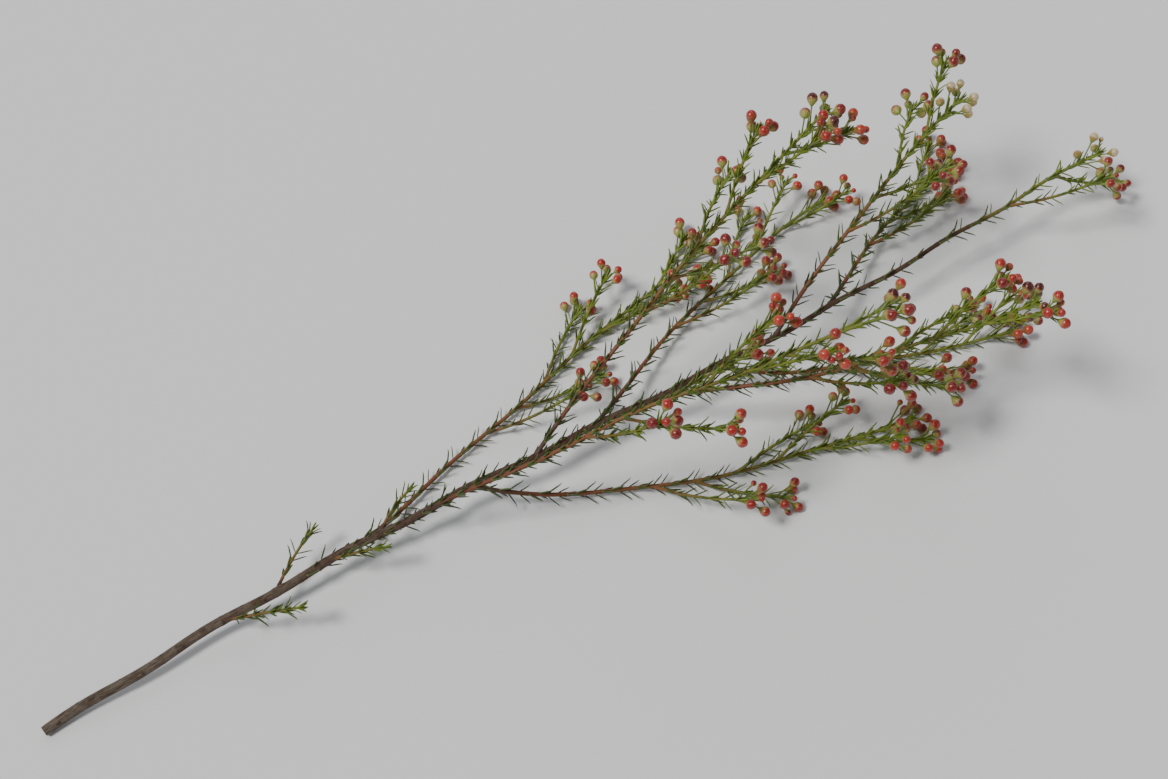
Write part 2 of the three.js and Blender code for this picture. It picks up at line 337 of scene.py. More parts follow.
STEM, BUD, YOUNG, AXIL, LYING = StemSizes(), BudSizes(), YoungBudSizes(), AxilSizes(), LyingSizes()
SPRAY = TwigSizes(
    longest=318.0, shortening=20.0, angle=35.0, foot_radius=1.25, tip_radius=0.8,
    count=9, first=176.0, first_turn=225.0, ascent=0.52, bow=8.0, wave=1.1, wave_length=118.0,
)
SHOOT = TwigSizes(
    longest=46.0, shortening=5.0, angle=42.0, foot_radius=0.9, tip_radius=0.65,
    count=4, first=104.0, spacing=31.0, first_turn=20.0, apart=140.0, youth=(0.3, 0.85),
    first_owner=20,
)
BRANCHLET = BranchletSizes(
    longest=62.0, shortening=26.0, angle=38.0, foot_radius=0.88, tip_radius=0.7,
    leaf_length=LEAF.shortest * 1.15, on_stem=False,
)


# ---- Centre lines ----


def lifted_height(z: Array) -> Array:
    """Keep a height off the floor: the lowest plus softness times log of one plus exp."""
    low, soft = LYING.twig_height, LYING.softness
    return low + soft * np.log1p(np.exp((z - low) / soft))


@dataclass(frozen=True)
class Station:
    """A place on a centre line, or a row of them, with its heading and directions across it."""

    place: Array
    along: Array
    level: Array
    upright: Array

    def outwards(self, rank: float, angle: float) -> Array:
        """Give the direction at angle from the heading, turned by rank about it, in radians."""
        side = self.level * math.cos(rank) + self.upright * math.sin(rank)
        return self.along * math.cos(angle) + side * math.sin(angle)


class Curve:
    """A centre line with t from 0 at its foot to 1 at its tip."""

    def points(self, t: Array) -> Array:
        """Give the points at the shares t."""
        raise NotImplementedError

    def station(self, t: float | Array) -> Station:
        """Find places and directions, with the heading from points a little before and after.

        Args:
            t: one share or a row of them.

        Returns:
            One station, or a row.
        """
        t, step = np.asarray(t, float), 0.0001
        along = unit(self.points(np.minimum(t + step, 1)) - self.points(np.maximum(t - step, 0)))
        level = unit(np.cross(along, UP))
        return Station(self.points(t), along, level, np.cross(level, along))


@dataclass(frozen=True)
class MainAxis(Curve):
    """The axis of the main stem: a slow sway and small kinks sideways, and a falling rise."""

    start: float
    end: float

    def points(self, t: Array) -> Array:
        """Find points: s along X, two sines across, and a quadratic rise.

        Args:
            t: shares of the length.

        Returns:
            The points.
        """
        s = mix(self.start, self.end, np.asarray(t, float))
        turn = 2 * math.pi * s
        across = STEM.sway * np.sin(turn / STEM.sway_length)
        across = across + STEM.kink * np.sin(turn / STEM.kink_length)
        return np.stack([s, across, STEM.cut_radius + STEM.rise * s - STEM.droop * s * s], -1)


@dataclass(frozen=True)
class SideAxis(Curve):
    """The axis of a side twig, which bends from its heading towards another direction."""

    foot: Array
    heading: Array
    towards: Array
    length: float
    bow: float
    sizes: TwigSizes

    def points(self, t: Array) -> Array:
        """Find points: heading and towards shared out by t squared, a bow, waves, and a lift.

        Args:
            t: shares of the length.

        Returns:
            The points.
        """
        t = np.asarray(t, float)[..., None]
        turned = self.sizes.ascent * t * t / 2
        waves = self.sizes.wave * np.sin(2 * math.pi * self.length * t / self.sizes.wave_length)
        across = unit(np.cross(self.heading, self.towards))
        found = self.foot + self.heading * (self.length * (t - turned))
        found = found + self.towards * (self.length * turned)
        found = found + across * (self.bow * np.sin(math.pi * t) + waves)
        foot_lift = self.foot[2] - lifted_height(self.foot[2])
        found[..., 2] = lifted_height(found[..., 2]) + foot_lift * (1 - t[..., 0])
        return found


def clear_of_floor(place: Array, direction: Array, reach: float, lowest: float) -> Array:
    """Raise a unit direction so that a straight piece ends above the floor.

    Args:
        place: where the piece starts.
        direction: its free direction.
        reach: its length.
        lowest: least height of its end.

    Returns:
        The direction, raised where it had to be.
    """
    least = (lowest - place[2]) / reach
    if direction[2] >= least:
        return direction
    kept = math.sqrt(max(0.0, 1 - least * least)) / math.hypot(direction[0], direction[1])
    return np.array([direction[0] * kept, direction[1] * kept, least])


# ---- Space that is taken ----


def spaced(start: float, end: float, length: float) -> Array:
    """Space values evenly from start to end, no further apart on the length than balls are."""
    count = max(1, math.ceil(length / LYING.ball_step))
    return mix(start, end, np.arange(count + 1) / count)


@dataclass(frozen=True)
class Balls:
    """Balls along a piece, which stand for its space; globes tells which are round buds."""

    centres: Array
    radii: Array
    globes: Array

    @classmethod
    def along(cls, centres: Array, radii: float | Array) -> "Balls":
        """Stand for a bar by a ball at each centre."""
        count = len(centres)
        return cls(centres, np.broadcast_to(radii, count), np.zeros(count, bool))

    @classmethod
    def straight(
        cls, place: Array, direction: Array, start: float, end: float, radius: float
    ) -> "Balls":
        """Stand for a straight piece by balls at distances from start to end along it."""
        reach = spaced(start, end, end - start)[:, None]
        return cls.along(place + direction * reach, radius)

    def joined(self, other: "Balls") -> "Balls":
        """Put another row of balls after this one."""
        pairs = [(getattr(self, n), getattr(other, n)) for n in ("centres", "radii", "globes")]
        return Balls(*map(np.concatenate, pairs))

    def meet(self, other: "Balls", room: float) -> bool:
        """Tell whether any ball comes nearer than room to one of the others."""
        apart = np.linalg.norm(self.centres[:, None] - other.centres[None], axis=-1)
        return bool((apart < self.radii[:, None] + other.radii[None] + room).any())


class TakenSpace:
    """The balls of every piece, so that no two owners share space."""

    def __init__(self) -> None:
        """Start with no balls."""
        self.balls = Balls.along(np.zeros((0, 3)), 0.0)
        self.owners = np.zeros(0, int)

    def take(self, owner: int, balls: Balls) -> None:
        """Keep balls for an owner."""
        self.balls = self.balls.joined(balls)
        self.owners = np.append(self.owners, np.full(len(balls.radii), owner))

    def take_if_free(self, owner: int, balls: Balls) -> bool:
        """Keep balls that are clear of other owners', and globes clear of their own owner's.

        Args:
            owner: number of the branch that asks.
            balls: the space that it asks for.

        Returns:
            Whether the space was free.
        """
        low, high = balls.centres.min(0), balls.centres.max(0)
        reach = (high - low) / 2 + LYING.near
        near = np.all(np.abs(self.balls.centres - (low + high) / 2) < reach, axis=1)
        apart = ((balls.centres[:, None] - self.balls.centres[near]) ** 2).sum(-1)
        same = (self.owners[near] == owner)[None, :]
        tested = ~same | (balls.globes[:, None] & self.balls.globes[near][None, :])
        room = np.where(same, 0.0, LYING.clearance)
        least = balls.radii[:, None] + self.balls.radii[near][None, :] + room
        free = not np.any(tested & (apart < least * least))
        if free:
            self.take(owner, balls)
        return free


# ---- Plan of growth ----


@dataclass(frozen=True)
class Leaf:
    """One needle leaf, straight from its place on the twig."""

    place: Array
    heading: Array
    along: Array
    start: float
    length: float
    youth: float
    tone: float
    width: float


@dataclass(frozen=True)
class WantedLeaf:
    """A leaf that a twig would grow at its share t, if there is room."""

    t: float
    rank: float
    angle: float
    length: float
    tone: float


@dataclass(frozen=True)
class Bud:
    """One bud on its stalk."""

    place: Array
    heading: Array
    start: float
    stalk: float
    size: float
    seed: Keys

    @property
    def centre(self) -> Array:
        """Give the middle of the globe."""
        return self.place + self.heading * (self.stalk + BUD.cup_length * self.size)

    @property
    def radius(self) -> float:
        """Give the radius of the globe."""
        return BUD.globe_radius * self.size

    def balls(self) -> Balls:
        """Stand for the stalk, beyond its root, and for the globe."""
        stalk = Balls.straight(self.place, self.heading, BUD.stalk_root, self.stalk, BUD.stalk_radius)
        return stalk.joined(Balls(self.centre[None], np.array([self.radius]), np.array([True])))


@dataclass
class Twig:
    """One tapering twig, with the places of its nodes along it."""

    curve: Curve
    length: float
    foot_radius: float
    tip_radius: float
    sides: int
    youth: Pair = (0.0, 1.0)
    leaf_length: float = SPRAY.leaf_length
    first_leaf: float = LEAF.near_foot
    tip_spacing: float = LEAF.tip_spacing
    carrier_radius: float = 0.0
    on_stem: bool = False
    lead_in: float = 0.0
    nodes: list[float] = field(default_factory=list)
    leaf_nodes: list[float] = field(default_factory=list)

    def radius(self, t: float | Array) -> float | Array:
        """Give the radius at t, without swellings."""
        return mix(self.foot_radius, self.tip_radius, t)

    def balls(self) -> Balls:
        """Stand for the twig, without the foot where it leaves the main stem.

        Returns:
            Balls from foot to tip.
        """
        start = LYING.free_foot / self.length if self.on_stem else 0.0
        t = spaced(start, 1.0, self.length * (1 - start))
        return Balls.along(self.curve.points(t), self.radius(t))

    def root_start(self, t: float, along: Array, heading: Array) -> float:
        """Find where a side piece starts: the depth of its root over the sine of its lean."""
        depth = max(0.0, self.radius(t) * math.cos(math.pi / self.sides) - LEAF.root_depth)
        return depth / float(np.linalg.norm(np.cross(along, heading)))

    def side_twig(
        self, t: float, turn: float, lean: float, length: float, bow: float, sizes: TwigSizes
    ) -> "Twig":
        """Grow a side twig.

        Args:
            t: where it leaves.
            turn: turn about this twig, in radians.
            lean: angle from this twig, in degrees.
            length: its length.
            bow: its bend sideways.
            sizes: its kind.

        Returns:
            The side twig.
        """
        station = self.curve.station(t)
        heading = station.outwards(turn, math.radians(lean))
        return Twig(
            SideAxis(station.place, heading, station.along, length, bow, sizes), length,
            sizes.foot_radius, sizes.tip_radius, sizes.sides, sizes.youth, sizes.leaf_length,
            carrier_radius=self.radius(t), on_stem=sizes.on_stem,
        )


@dataclass
class Branch:
    """The main stem, a side branch or the leader: its twigs, buds and leaves."""

    name: str
    owner: int
    main: Twig
    taken: TakenSpace
    buds: list[Bud] = field(default_factory=list)
    leaves: list[Leaf] = field(default_factory=list)

    def __post_init__(self) -> None:
        """Start with the main twig alone."""
        self.twigs = [self.main]

    def plan_branchlets(self) -> None:
        """Add branchlets from the lowest up, but none that would meet another branch."""
        main, sizes = self.main, BRANCHLET
        count = max(2, math.floor(main.length / sizes.spacing + 0.5) - 1)
        for j in range(count):
            keys = (self.owner, j)
            t = mix(sizes.lowest, sizes.highest, (j + sizes.lead) / count)
            turn = crossed_rank(j + 0.5, j % 2) + Chance.BRANCHLET_RANK.drift(*keys)
            lean = sizes.angle + Chance.BRANCHLET_ANGLE.drift(*keys)
            length = sizes.longest - sizes.shortening * j / count
            length += Chance.BRANCHLET_LENGTH.drift(*keys)
            bow = sizes.bow * Chance.BRANCHLET_BOW.drift(*keys)
            twig = main.side_twig(t, turn, lean, length, bow, sizes)
            twig.youth = (t, 1.0)
            if self.taken.take_if_free(self.owner, twig.balls()):
                self.twigs.append(twig)
                main.nodes.append(t * main.length)

    def plan_buds(self) -> None:
        """Add buds in crossed pairs at the last nodes of each twig."""
        for index, twig in enumerate(self.twigs):
            for node, distance in enumerate(BUD.side_nodes if index else BUD.main_nodes):
                twig.nodes.append(twig.length - distance)
                for side in range(2):
                    bud = self.bud_at(twig, distance, (self.owner, index, node, side))
                    self.keep_if_free(bud)

    def plan_young_buds(self) -> None:
        """Add smaller buds between the planned ones, where they touch nothing."""
        for index, twig in enumerate(self.twigs):
            for node, distance in enumerate(YOUNG.side_nodes if index else YOUNG.main_nodes):
                for side in range(YOUNG.ranks):
                    keys = (self.owner, index, node + YOUNG.first_key, side)
                    size = mix(YOUNG.smallest, YOUNG.largest, Chance.YOUNG_SIZE.share(*keys))
                    turned = CROSSED * side + Chance.YOUNG_RANK.drift(*keys)
                    bud = self.bud_at(twig, distance, keys, size, turned)
                    balls, own = bud.balls(), [*self.buds, *self.twigs]
                    if not any(balls.meet(other.balls(), YOUNG.clearance) for other in own):
                        self.keep_if_free(bud)

    def bud_at(
        self, twig: Twig, distance: float, keys: Keys, share: float = 1.0, turned: float = 0.0
    ) -> Bud:
        """Shape one bud at a distance from the tip; the lower its node, the longer its stalk.

        Args:
            twig: what carries it.
            distance: from the tip.
            keys: numbers of branch, twig, node and side.
            share: share of a full bud's size.
            turned: turn from a planned bud's rank.

        Returns:
            The bud, clear of the floor.
        """
        _, _, node, side = keys
        t = 1 - distance / twig.length
        station = twig.curve.station(t)
        rank = crossed_rank(node + 0.5, side) + Chance.BUD_RANK.drift(*keys) + turned
        angle = BUD.angle + Chance.BUD_ANGLE.drift(*keys)
        stalk = BUD.stalk_shortest + BUD.stalk_share * distance + Chance.BUD_STALK.drift(*keys)
        size = share * (1 + Chance.BUD_SIZE.drift(*keys))
        reach = stalk + BUD.cup_length * size
        free = station.outwards(rank, math.radians(angle))
        heading = clear_of_floor(station.place, free, reach, BUD.globe_radius * size)
        start = twig.root_start(t, station.along, heading)
        return Bud(station.place, heading, start, stalk, size, keys)

    def keep_if_free(self, bud: Bud) -> None:
        """Keep a bud where nothing else is."""
        if self.taken.take_if_free(self.owner, bud.balls()):
            self.buds.append(bud)

    def plan_leaves(self) -> None:
        """Add leaves in crossed pairs from foot to tip, shorter with the root of the share."""
        for index, twig in enumerate(self.twigs):
            wanted, reached = [], twig.first_leaf
            while reached <= twig.length:
                node, t = len(twig.leaf_nodes), reached / twig.length
                twig.leaf_nodes.append(reached)
                reached += mix(LEAF.spacing, twig.tip_spacing, t)
                for side in range(2):
                    keys = (self.owner, index, node, side)
                    rank = crossed_rank(node + 0.5, side) + Chance.LEAF_RANK.drift(*keys)
                    angle = LEAF.angle + Chance.LEAF_ANGLE.drift(*keys)
                    length = mix(twig.leaf_length, LEAF.shortest, math.sqrt(t))
                    length *= 1 + Chance.LEAF_LENGTH.drift(*keys)
                    tone = Chance.LEAF_TONE.share(*keys)
                    wanted.append(WantedLeaf(t, rank, angle, length, tone))
            twig.nodes += twig.leaf_nodes
            self.grow_leaves(twig, wanted, PAIRED)

    def plan_tufts(self) -> None:
        """Add a tuft of small young leaves at the tip of every twig."""
        for index, twig in enumerate(self.twigs):
            wanted = []
            for node, (back, length, angle) in enumerate(TUFT_PAIRS):
                for side in range(2):
                    keys = (self.owner, index, node, side)
                    rank = crossed_rank(node, side) + Chance.TUFT_RANK.drift(*keys)
                    lean = angle + Chance.TUFT_ANGLE.drift(*keys)
                    grown = length * (1 + Chance.TUFT_LENGTH.drift(*keys))
                    tone = (1 + Chance.TUFT_TONE.share(*keys)) / 2
                    wanted.append(WantedLeaf(1 - back / twig.length, rank, lean, grown, tone))
            self.grow_leaves(twig, wanted, TUFTED)

    def plan_axils(self) -> None:
        """Add clusters of small leaves in the axils of some, and pairs between far nodes."""
        for index, twig in enumerate(self.twigs):
            wanted, places = [], [*twig.leaf_nodes, 0.0]
            for node, (reached, following) in enumerate(zip(places, places[1:])):
                for side in range(2):
                    keys = (self.owner, index, node, side)
                    rank = crossed_rank(node + 0.5, side)
                    if Chance.AXIL_FILLED.share(*keys) < AXIL.share:
                        t = reached / twig.length
                        wanted += [self.axil_leaf(t, rank, (*keys, k)) for k in range(AXIL.count)]
                    if following - reached > AXIL.far_apart:
                        turn = rank + CROSSED / 2 + Chance.BETWEEN_RANK.drift(*keys)
                        angle = LEAF.angle + Chance.BETWEEN_ANGLE.drift(*keys)
                        share = AXIL.between_length + Chance.BETWEEN_LENGTH.drift(*keys)
                        tone = Chance.AXIL_TONE.share(*keys, AXIL.between_key)
                        t = (reached + following) / 2 / twig.length
                        wanted.append(WantedLeaf(t, turn, angle, LEAF.shortest * share, tone))
            self.grow_leaves(twig, wanted, AXILLARY)

    def axil_leaf(self, t: float, rank: float, keys: Keys) -> WantedLeaf:
        """Shape one leaf of a fan in the axil of another.

        Args:
            t: where on the twig.
            rank: turn of the leaf above the fan.
            keys: numbers of branch, twig, node, side and place in the fan.

        Returns:
            The wanted leaf.
        """
        fan = AXIL.fan * (keys[-1] - (AXIL.count - 1) / 2) + Chance.AXIL_RANK.drift(*keys)
        angle = AXIL.angle + Chance.AXIL_ANGLE.drift(*keys)
        length = mix(AXIL.shortest, AXIL.longest, Chance.AXIL_LENGTH.share(*keys))
        return WantedLeaf(t, rank + fan, angle, length, Chance.AXIL_TONE.share(*keys))

    def grow_leaves(self, twig: Twig, wanted: list[WantedLeaf], kind: LeafKind) -> None:
        """Grow the wanted leaves that find room, in their order.

        Args:
            twig: what carries them.
            wanted: the leaves.
            kind: what they have in common.
        """
        for leaf in wanted:
            station = twig.curve.station(leaf.t)
            free = station.outwards(leaf.rank, math.radians(leaf.angle))
            heading = clear_of_floor(station.place, free, leaf.length, LYING.leaf_height)
            ends = kind.root or twig.radius(leaf.t) + LEAF.root_room, leaf.length
            balls = Balls.straight(station.place, heading, *ends, LEAF.width / 2)
            if self.taken.take_if_free(self.owner, balls):
                start = kind.start or twig.root_start(leaf.t, station.along, heading)
                youth = min(1.0, float(mix(*twig.youth, leaf.t)) + kind.younger)
                self.leaves.append(Leaf(
                    station.place, heading, station.along, start, leaf.length, youth, leaf.tone,
                    kind.width,
                ))


class Growth:
    """The whole plan: main stem, branches and their places in space."""

    def __init__(self) -> None:
        """Grow twigs first, then buds, then leaves, in the frame's order."""
        stem = Twig(
            MainAxis(0.0, STEM.woody_length), STEM.woody_length, STEM.cut_radius,
            STEM.top_radius, STEM.sides, STEM.youth, LEAF.longest, STEM.leafless, LEAF.spacing,
        )
        kinds = (SPRAY, SHOOT)
        stem.nodes += [k.share(i) * STEM.woody_length for k in kinds for i in range(k.count)]
        self.taken = TakenSpace()
        self.stem = Branch("main_stem", 0, stem, self.taken)
        flowering = [*(self.spray(i) for i in range(SPRAY.count)), self.leader()]
        self.branches = [*(self.shoot(i) for i in range(SHOOT.count)), *flowering]
        everything = [self.stem, *self.branches]
        for branch in everything:
            self.taken.take(branch.owner, branch.main.balls())
        for step, carriers in (
            (Branch.plan_branchlets, flowering), (Branch.plan_buds, flowering),
            (Branch.plan_leaves, everything), (Branch.plan_young_buds, flowering),
            (Branch.plan_tufts, self.branches), (Branch.plan_axils, everything),
        ):
            for branch in carriers:
                step(branch)

    def spray(self, i: int) -> Branch:
        """Plan the main twig of a flowering spray, in crossed pairs up the stem.

        Args:
            i: its number.

        Returns:
            The spray, with no branchlets yet.
        """
        side, crossed = i % 2, i // 2 % 2
        turn = SPRAY.first_turn + SPRAY.apart * side + 90 * crossed + Chance.SPRAY_RANK.drift(i)
        lean = SPRAY.angle + Chance.SPRAY_ANGLE.drift(i)
        length = SPRAY.longest - i * SPRAY.shortening + Chance.SPRAY_LENGTH.drift(i)
        bow = SPRAY.bow * Chance.SPRAY_BOW.drift(i)
        ways = SPRAY.share(i), math.radians(turn), lean, length, bow
        main = self.stem.main.side_twig(*ways, SPRAY)
        return Branch(f"flowering_spray_{i + 1}", SPRAY.first_owner + i, main, self.taken)

    def shoot(self, i: int) -> Branch:
        """Plan a short leafy shoot low on the stem.

        Args:
            i: its number.

        Returns:
            The shoot.
        """
        length = SHOOT.longest - i * SHOOT.shortening
        turn = SHOOT.first_turn + SHOOT.apart * (i % 2) + Chance.SHOOT_RANK.drift(i)
        ways = SHOOT.share(i), math.radians(turn), SHOOT.angle, length, SHOOT.bow
        main = self.stem.main.side_twig(*ways, SHOOT)
        return Branch(f"leafy_shoot_{i + 1}", SHOOT.first_owner + i, main, self.taken)

    def leader(self) -> Branch:
        """Plan the green end of the main axis.

        Returns:
            The leader, with no branchlets yet.
        """
        start = STEM.woody_length + LYING.gap
        main = Twig(
            MainAxis(start, start + STEM.leader_length), STEM.leader_length, STEM.top_radius,
            SPRAY.tip_radius, SPRAY.sides, STEM.leader_youth, lead_in=STEM.leader_root,
        )
        return Branch("leader_spray", STEM.leader_owner, main, self.taken)


# ---- Surfaces on parameter grids ----

NO_RING = -1


@dataclass
class TubeSet:
    """Tubes of equal grids, each closed by a point at its foot and one at its tip.

    rings holds points of shape (tubes, rings, sides, 3), counted from the foot and, about the
    heading, by the right hand; ends holds the two closing points of each tube. own and own_ends
    are the same points in the tube's own coordinates. traits are values for each tube and ring.
    """

    rings: Array
    ends: Array
    own: Array
    own_ends: Array
    traits: dict[str, Array]
    colours: dict[str, Array] = field(default_factory=dict)
    chunks: int = 1
    sharp_ring: int = NO_RING
    least_band: float = 0.15  # of the mean band's length, in the flat map
    cell_margin: float = 0.006  # of the flat map's side

    @property
    def shape(self) -> tuple[int, int, int]:
        """Give the numbers of tubes, rings and sides."""
        return self.rings.shape[:3]

    def points(self, own: bool = False) -> Array:
        """List ring points and closing points, or their own coordinates, tube by tube."""
        rings, ends = (self.own, self.own_ends) if own else (self.rings, self.ends)
        return np.concatenate([rings.reshape(len(rings), -1, 3), ends], axis=1).reshape(-1, 3)

    def trait(self, name: str) -> Array:
        """Spread a trait over every point; the closing points have the mean of their ring.

        Args:
            name: name of the trait.

        Returns:
            One value for each point.
        """
        values = self.traits[name]
        values = np.broadcast_to(values if values.ndim == 3 else values[..., None], self.shape)
        ends = values[:, [0, -1]].mean(axis=2)
        return np.concatenate([values.reshape(len(values), -1), ends], axis=1).ravel()

    def colour(self, name: str) -> Array:
        """Spread a colour, the same all over a tube, over every point, with full alpha."""
        rows = np.concatenate([self.colours[name], np.ones((len(self.rings), 1))], axis=1)
        return np.repeat(rows, self.shape[1] * self.shape[2] + 2, axis=0)

    def on_sharp_ring(self) -> Array:
        """Tell which points lie on the ring where the surface turns sharply over."""
        ring = np.append(np.repeat(np.arange(self.shape[1]), self.shape[2]), [NO_RING, NO_RING])
        return np.tile(ring == self.sharp_ring, self.shape[0]) & (self.sharp_ring != NO_RING)

    def faces(self) -> tuple[Array, Array]:
        """List the faces: four corners between two rings, and three at the closing points.

        Returns:
            The corners of all faces in a row, and the number of corners of each face.
        """
        tubes, rings, sides = self.shape
        ring, side = np.meshgrid(np.arange(rings - 1), np.arange(sides), indexing="ij")
        here, there = ring * sides + side, ring * sides + (side + 1) % sides
        quads = np.stack([here, there, there + sides, here + sides], -1)
        side, last = np.arange(sides), (rings - 1) * sides
        after, foot = (side + 1) % sides, np.full(sides, rings * sides)
        foot_fan = np.stack([after, side, foot], -1)
        tip_fan = np.stack([last + side, last + after, foot + 1], -1)
        one = np.concatenate([quads.ravel(), foot_fan.ravel(), tip_fan.ravel()])
        corners = np.repeat([4, 3], [last, 2 * sides])
        offsets = np.arange(tubes)[:, None] * (rings * sides + 2)
        return (one[None, :] + offsets).ravel(), np.tile(corners, tubes)

    def band_edges(self) -> tuple[Array, Array, Array]:
        """Share out the bands between rings over the chunks, by their mean length.

        Returns:
            For each band from foot to tip: its chunk, and the shares where it starts and ends.
        """
        steps = np.linalg.norm(np.diff(self.rings, axis=1), axis=-1).mean(axis=(0, 2))
        caps = np.linalg.norm(self.rings[:, [0, -1]] - self.ends[:, :, None], axis=-1)
        caps = caps.mean(axis=(0, 2))
        lengths = np.maximum(np.concatenate([[caps[0]], steps, [caps[1]]]), 1e-3)
        lengths = np.maximum(lengths, lengths.mean() * self.least_band)
        edges = np.concatenate([[0.0], np.cumsum(lengths)])
        middles = (edges[1:] + edges[:-1]) / 2 / edges[-1]
        chunk = np.minimum((middles * self.chunks).astype(int), self.chunks - 1)
        low = np.array([edges[:-1][chunk == c].min() for c in range(self.chunks)])
        high = np.array([edges[1:][chunk == c].max() for c in range(self.chunks)])
        span = (high - low)[chunk]
        return chunk, (edges[:-1] - low[chunk]) / span, (edges[1:] - low[chunk]) / span

    def atlas(self, first: int, grid: Array) -> Array:
        """Lay every chunk of every tube flat in a cell of its own.

        Args:
            first: number of the first cell to use.
            grid: columns and rows of cells.

        Returns:
            Flat coordinates for each face corner, in the order of faces().
        """
        tubes, rings, sides = self.shape
        chunk, low, high = self.band_edges()
        near, far, half = ((np.arange(sides) + share) / sides for share in (0, 1, 0.5))
        local, cell = [], []
        for band in (*range(1, rings), 0, rings):
            u, v = low[band], high[band]
            pairs = ((u, near), (u, far), (v, far), (v, near))
            if band == 0:
                pairs = ((v, far), (v, near), (u, half))
            elif band == rings:
                pairs = ((u, near), (u, far), (v, half))
            flat = [np.stack([np.full(sides, along), around], -1) for along, around in pairs]
            local.append(np.stack(flat, 1).reshape(-1, 2))
            cell.append(np.full(len(local[-1]), chunk[band]))
        numbers = first + np.arange(tubes)[:, None] * self.chunks + np.concatenate(cell)[None]
        origin = np.stack([numbers % grid[0], numbers // grid[0]], -1)
        margin = self.cell_margin * grid
        inner = margin + np.concatenate(local)[None] * (1 - 2 * margin)
        return ((origin + inner) / grid).reshape(-1, 2)


def corners_of(node: bpy.types.Object) -> Array:
    """Read the corners of a frame node, in metres."""
    return np.array([corner.co for corner in node.data.vertices], np.float32)


def shift_onto_frame() -> Array:
    """Find the shift from the plan to the frame: the cut end's corners have the foot as mean."""
    points = np.unique(np.round(corners_of(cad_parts["main_stem"]) / MM, 3), axis=0)
    return points[points[:, 0] < points[:, 0].min() + END_DEPTH].mean(0) - STEM.cut_radius * UP


SHIFT = shift_onto_frame()


def make_mesh(name: str, sets: list[TubeSet]) -> Mesh:
    """Make one mesh from tube sets, with their own coordinates, traits and colours.

    Args:
        name: name of the mesh.
        sets: its tubes.

    Returns:
        The mesh, on the frame.
    """
    offsets = np.cumsum([0, *(len(s.points()) for s in sets)])
    corners, totals = zip(*(s.faces() for s in sets))
    corners = np.concatenate([c + offset for c, offset in zip(corners, offsets)])
    totals = np.concatenate(totals)
    points = (joined(sets, TubeSet.points) + SHIFT) * MM
    mesh = bpy.data.meshes.new(name)
    mesh.vertices.add(len(points))
    mesh.vertices.foreach_set("co", points.astype(np.float32).ravel())
    mesh.loops.add(len(corners))
    mesh.loops.foreach_set("vertex_index", corners.astype(np.int32))
    mesh.polygons.add(len(totals))
    mesh.polygons.foreach_set("loop_start", (np.cumsum(totals) - totals).astype(np.int32))
    mesh.polygons.foreach_set("use_smooth", np.ones(len(totals), bool))
    mesh.update(calc_edges=True)
    store(mesh, "own", "FLOAT_VECTOR", joined(sets, TubeSet.points, True))
    for trait in sets[0].traits:
        store(mesh, trait, "FLOAT", joined(sets, TubeSet.trait, trait))
    for tint in sets[0].colours:
        store(mesh, tint, "FLOAT_COLOR", joined(sets, TubeSet.colour, tint))
    sharp = joined(sets, TubeSet.on_sharp_ring)
    if sharp.any():
        edges = np.zeros(len(mesh.edges) * 2, np.int32)
        mesh.edges.foreach_get("vertices", edges)
        store(mesh, "sharp_edge", "BOOLEAN", sharp[edges].reshape(-1, 2).all(axis=1), "EDGE")
    lay_flat(mesh, sets)
    return mesh


def add_object(name: str, data: bpy.types.ID) -> bpy.types.Object:
    """Put a mesh, light or camera into the scene as an object."""
    bpy.context.scene.collection.objects.link(bpy.data.objects.new(name, data))
    return bpy.data.objects[name]


def make_piece(name: str, sets: list[TubeSet], material: Material, node: str) -> None:
    """Make one object from tube sets, ride it on the root and let it stand for its node.

    Args:
        name: name of the piece.
        sets: its tubes.
        material: its finish.
        node: frame node that it replaces.
    """
    piece = add_object(name, make_mesh(name, sets))
    piece.data.materials.append(material)
    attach(piece, "root")
    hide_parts(node)
    log.info("%s: %d faces for %s", name, len(piece.data.polygons), node)


def joined(sets: list[TubeSet], values: Callable[..., Array], *given: object) -> Array:
    """Join what a method of tube sets gives for each set."""
    return np.concatenate([values(s, *given) for s in sets])


def store(mesh: Mesh, name: str, kind: str, values: Array, domain: str = "POINT") -> None:
    """Store values on a mesh, one row for each of its points or edges."""
    label = {"FLOAT_VECTOR": "vector", "FLOAT_COLOR": "color"}.get(kind, "value")
    mesh.attributes.new(name, kind, domain).data.foreach_set(label, values.ravel())


def lay_flat(mesh: Mesh, sets: list[TubeSet]) -> None:
    """Give the mesh a flat map with one cell for each chunk of each tube.

    The cells are as long for their width as the chunks of the set that has most.

    Args:
        mesh: the mesh.
        sets: its tubes.
    """
    counts = [s.shape[0] * s.chunks for s in sets]
    largest = sets[counts.index(max(counts))]
    length = np.linalg.norm(np.diff(largest.rings, axis=1), axis=-1).sum(1).mean()
    around = np.linalg.norm(largest.rings - np.roll(largest.rings, 1, axis=2), axis=-1)
    girth = around.sum(2).mean()
    columns = max(1, round(math.sqrt(sum(counts) * girth * largest.chunks / length)))
    grid = np.array([columns, math.ceil(sum(counts) / columns)])
    firsts = np.cumsum(counts) - counts
    flat = np.concatenate([s.atlas(first, grid) for s, first in zip(sets, firsts)])
    layer = mesh.uv_layers.new(name="OFBake")
    layer.data.foreach_set("uv", flat.astype(np.float32).ravel())


# ---- Forms ----


def own_turned(spread: Array, turn: Array, height: Array, ends: Array) -> tuple[Array, Array]:
    """Give own coordinates: radius by cosine and sine of the turn, height; ends on the axis."""
    parts = np.broadcast_arrays(spread * np.cos(turn), spread * np.sin(turn), height[..., None])
    return np.stack(parts, -1), np.concatenate([np.zeros((*ends.shape, 2)), ends[..., None]], -1)


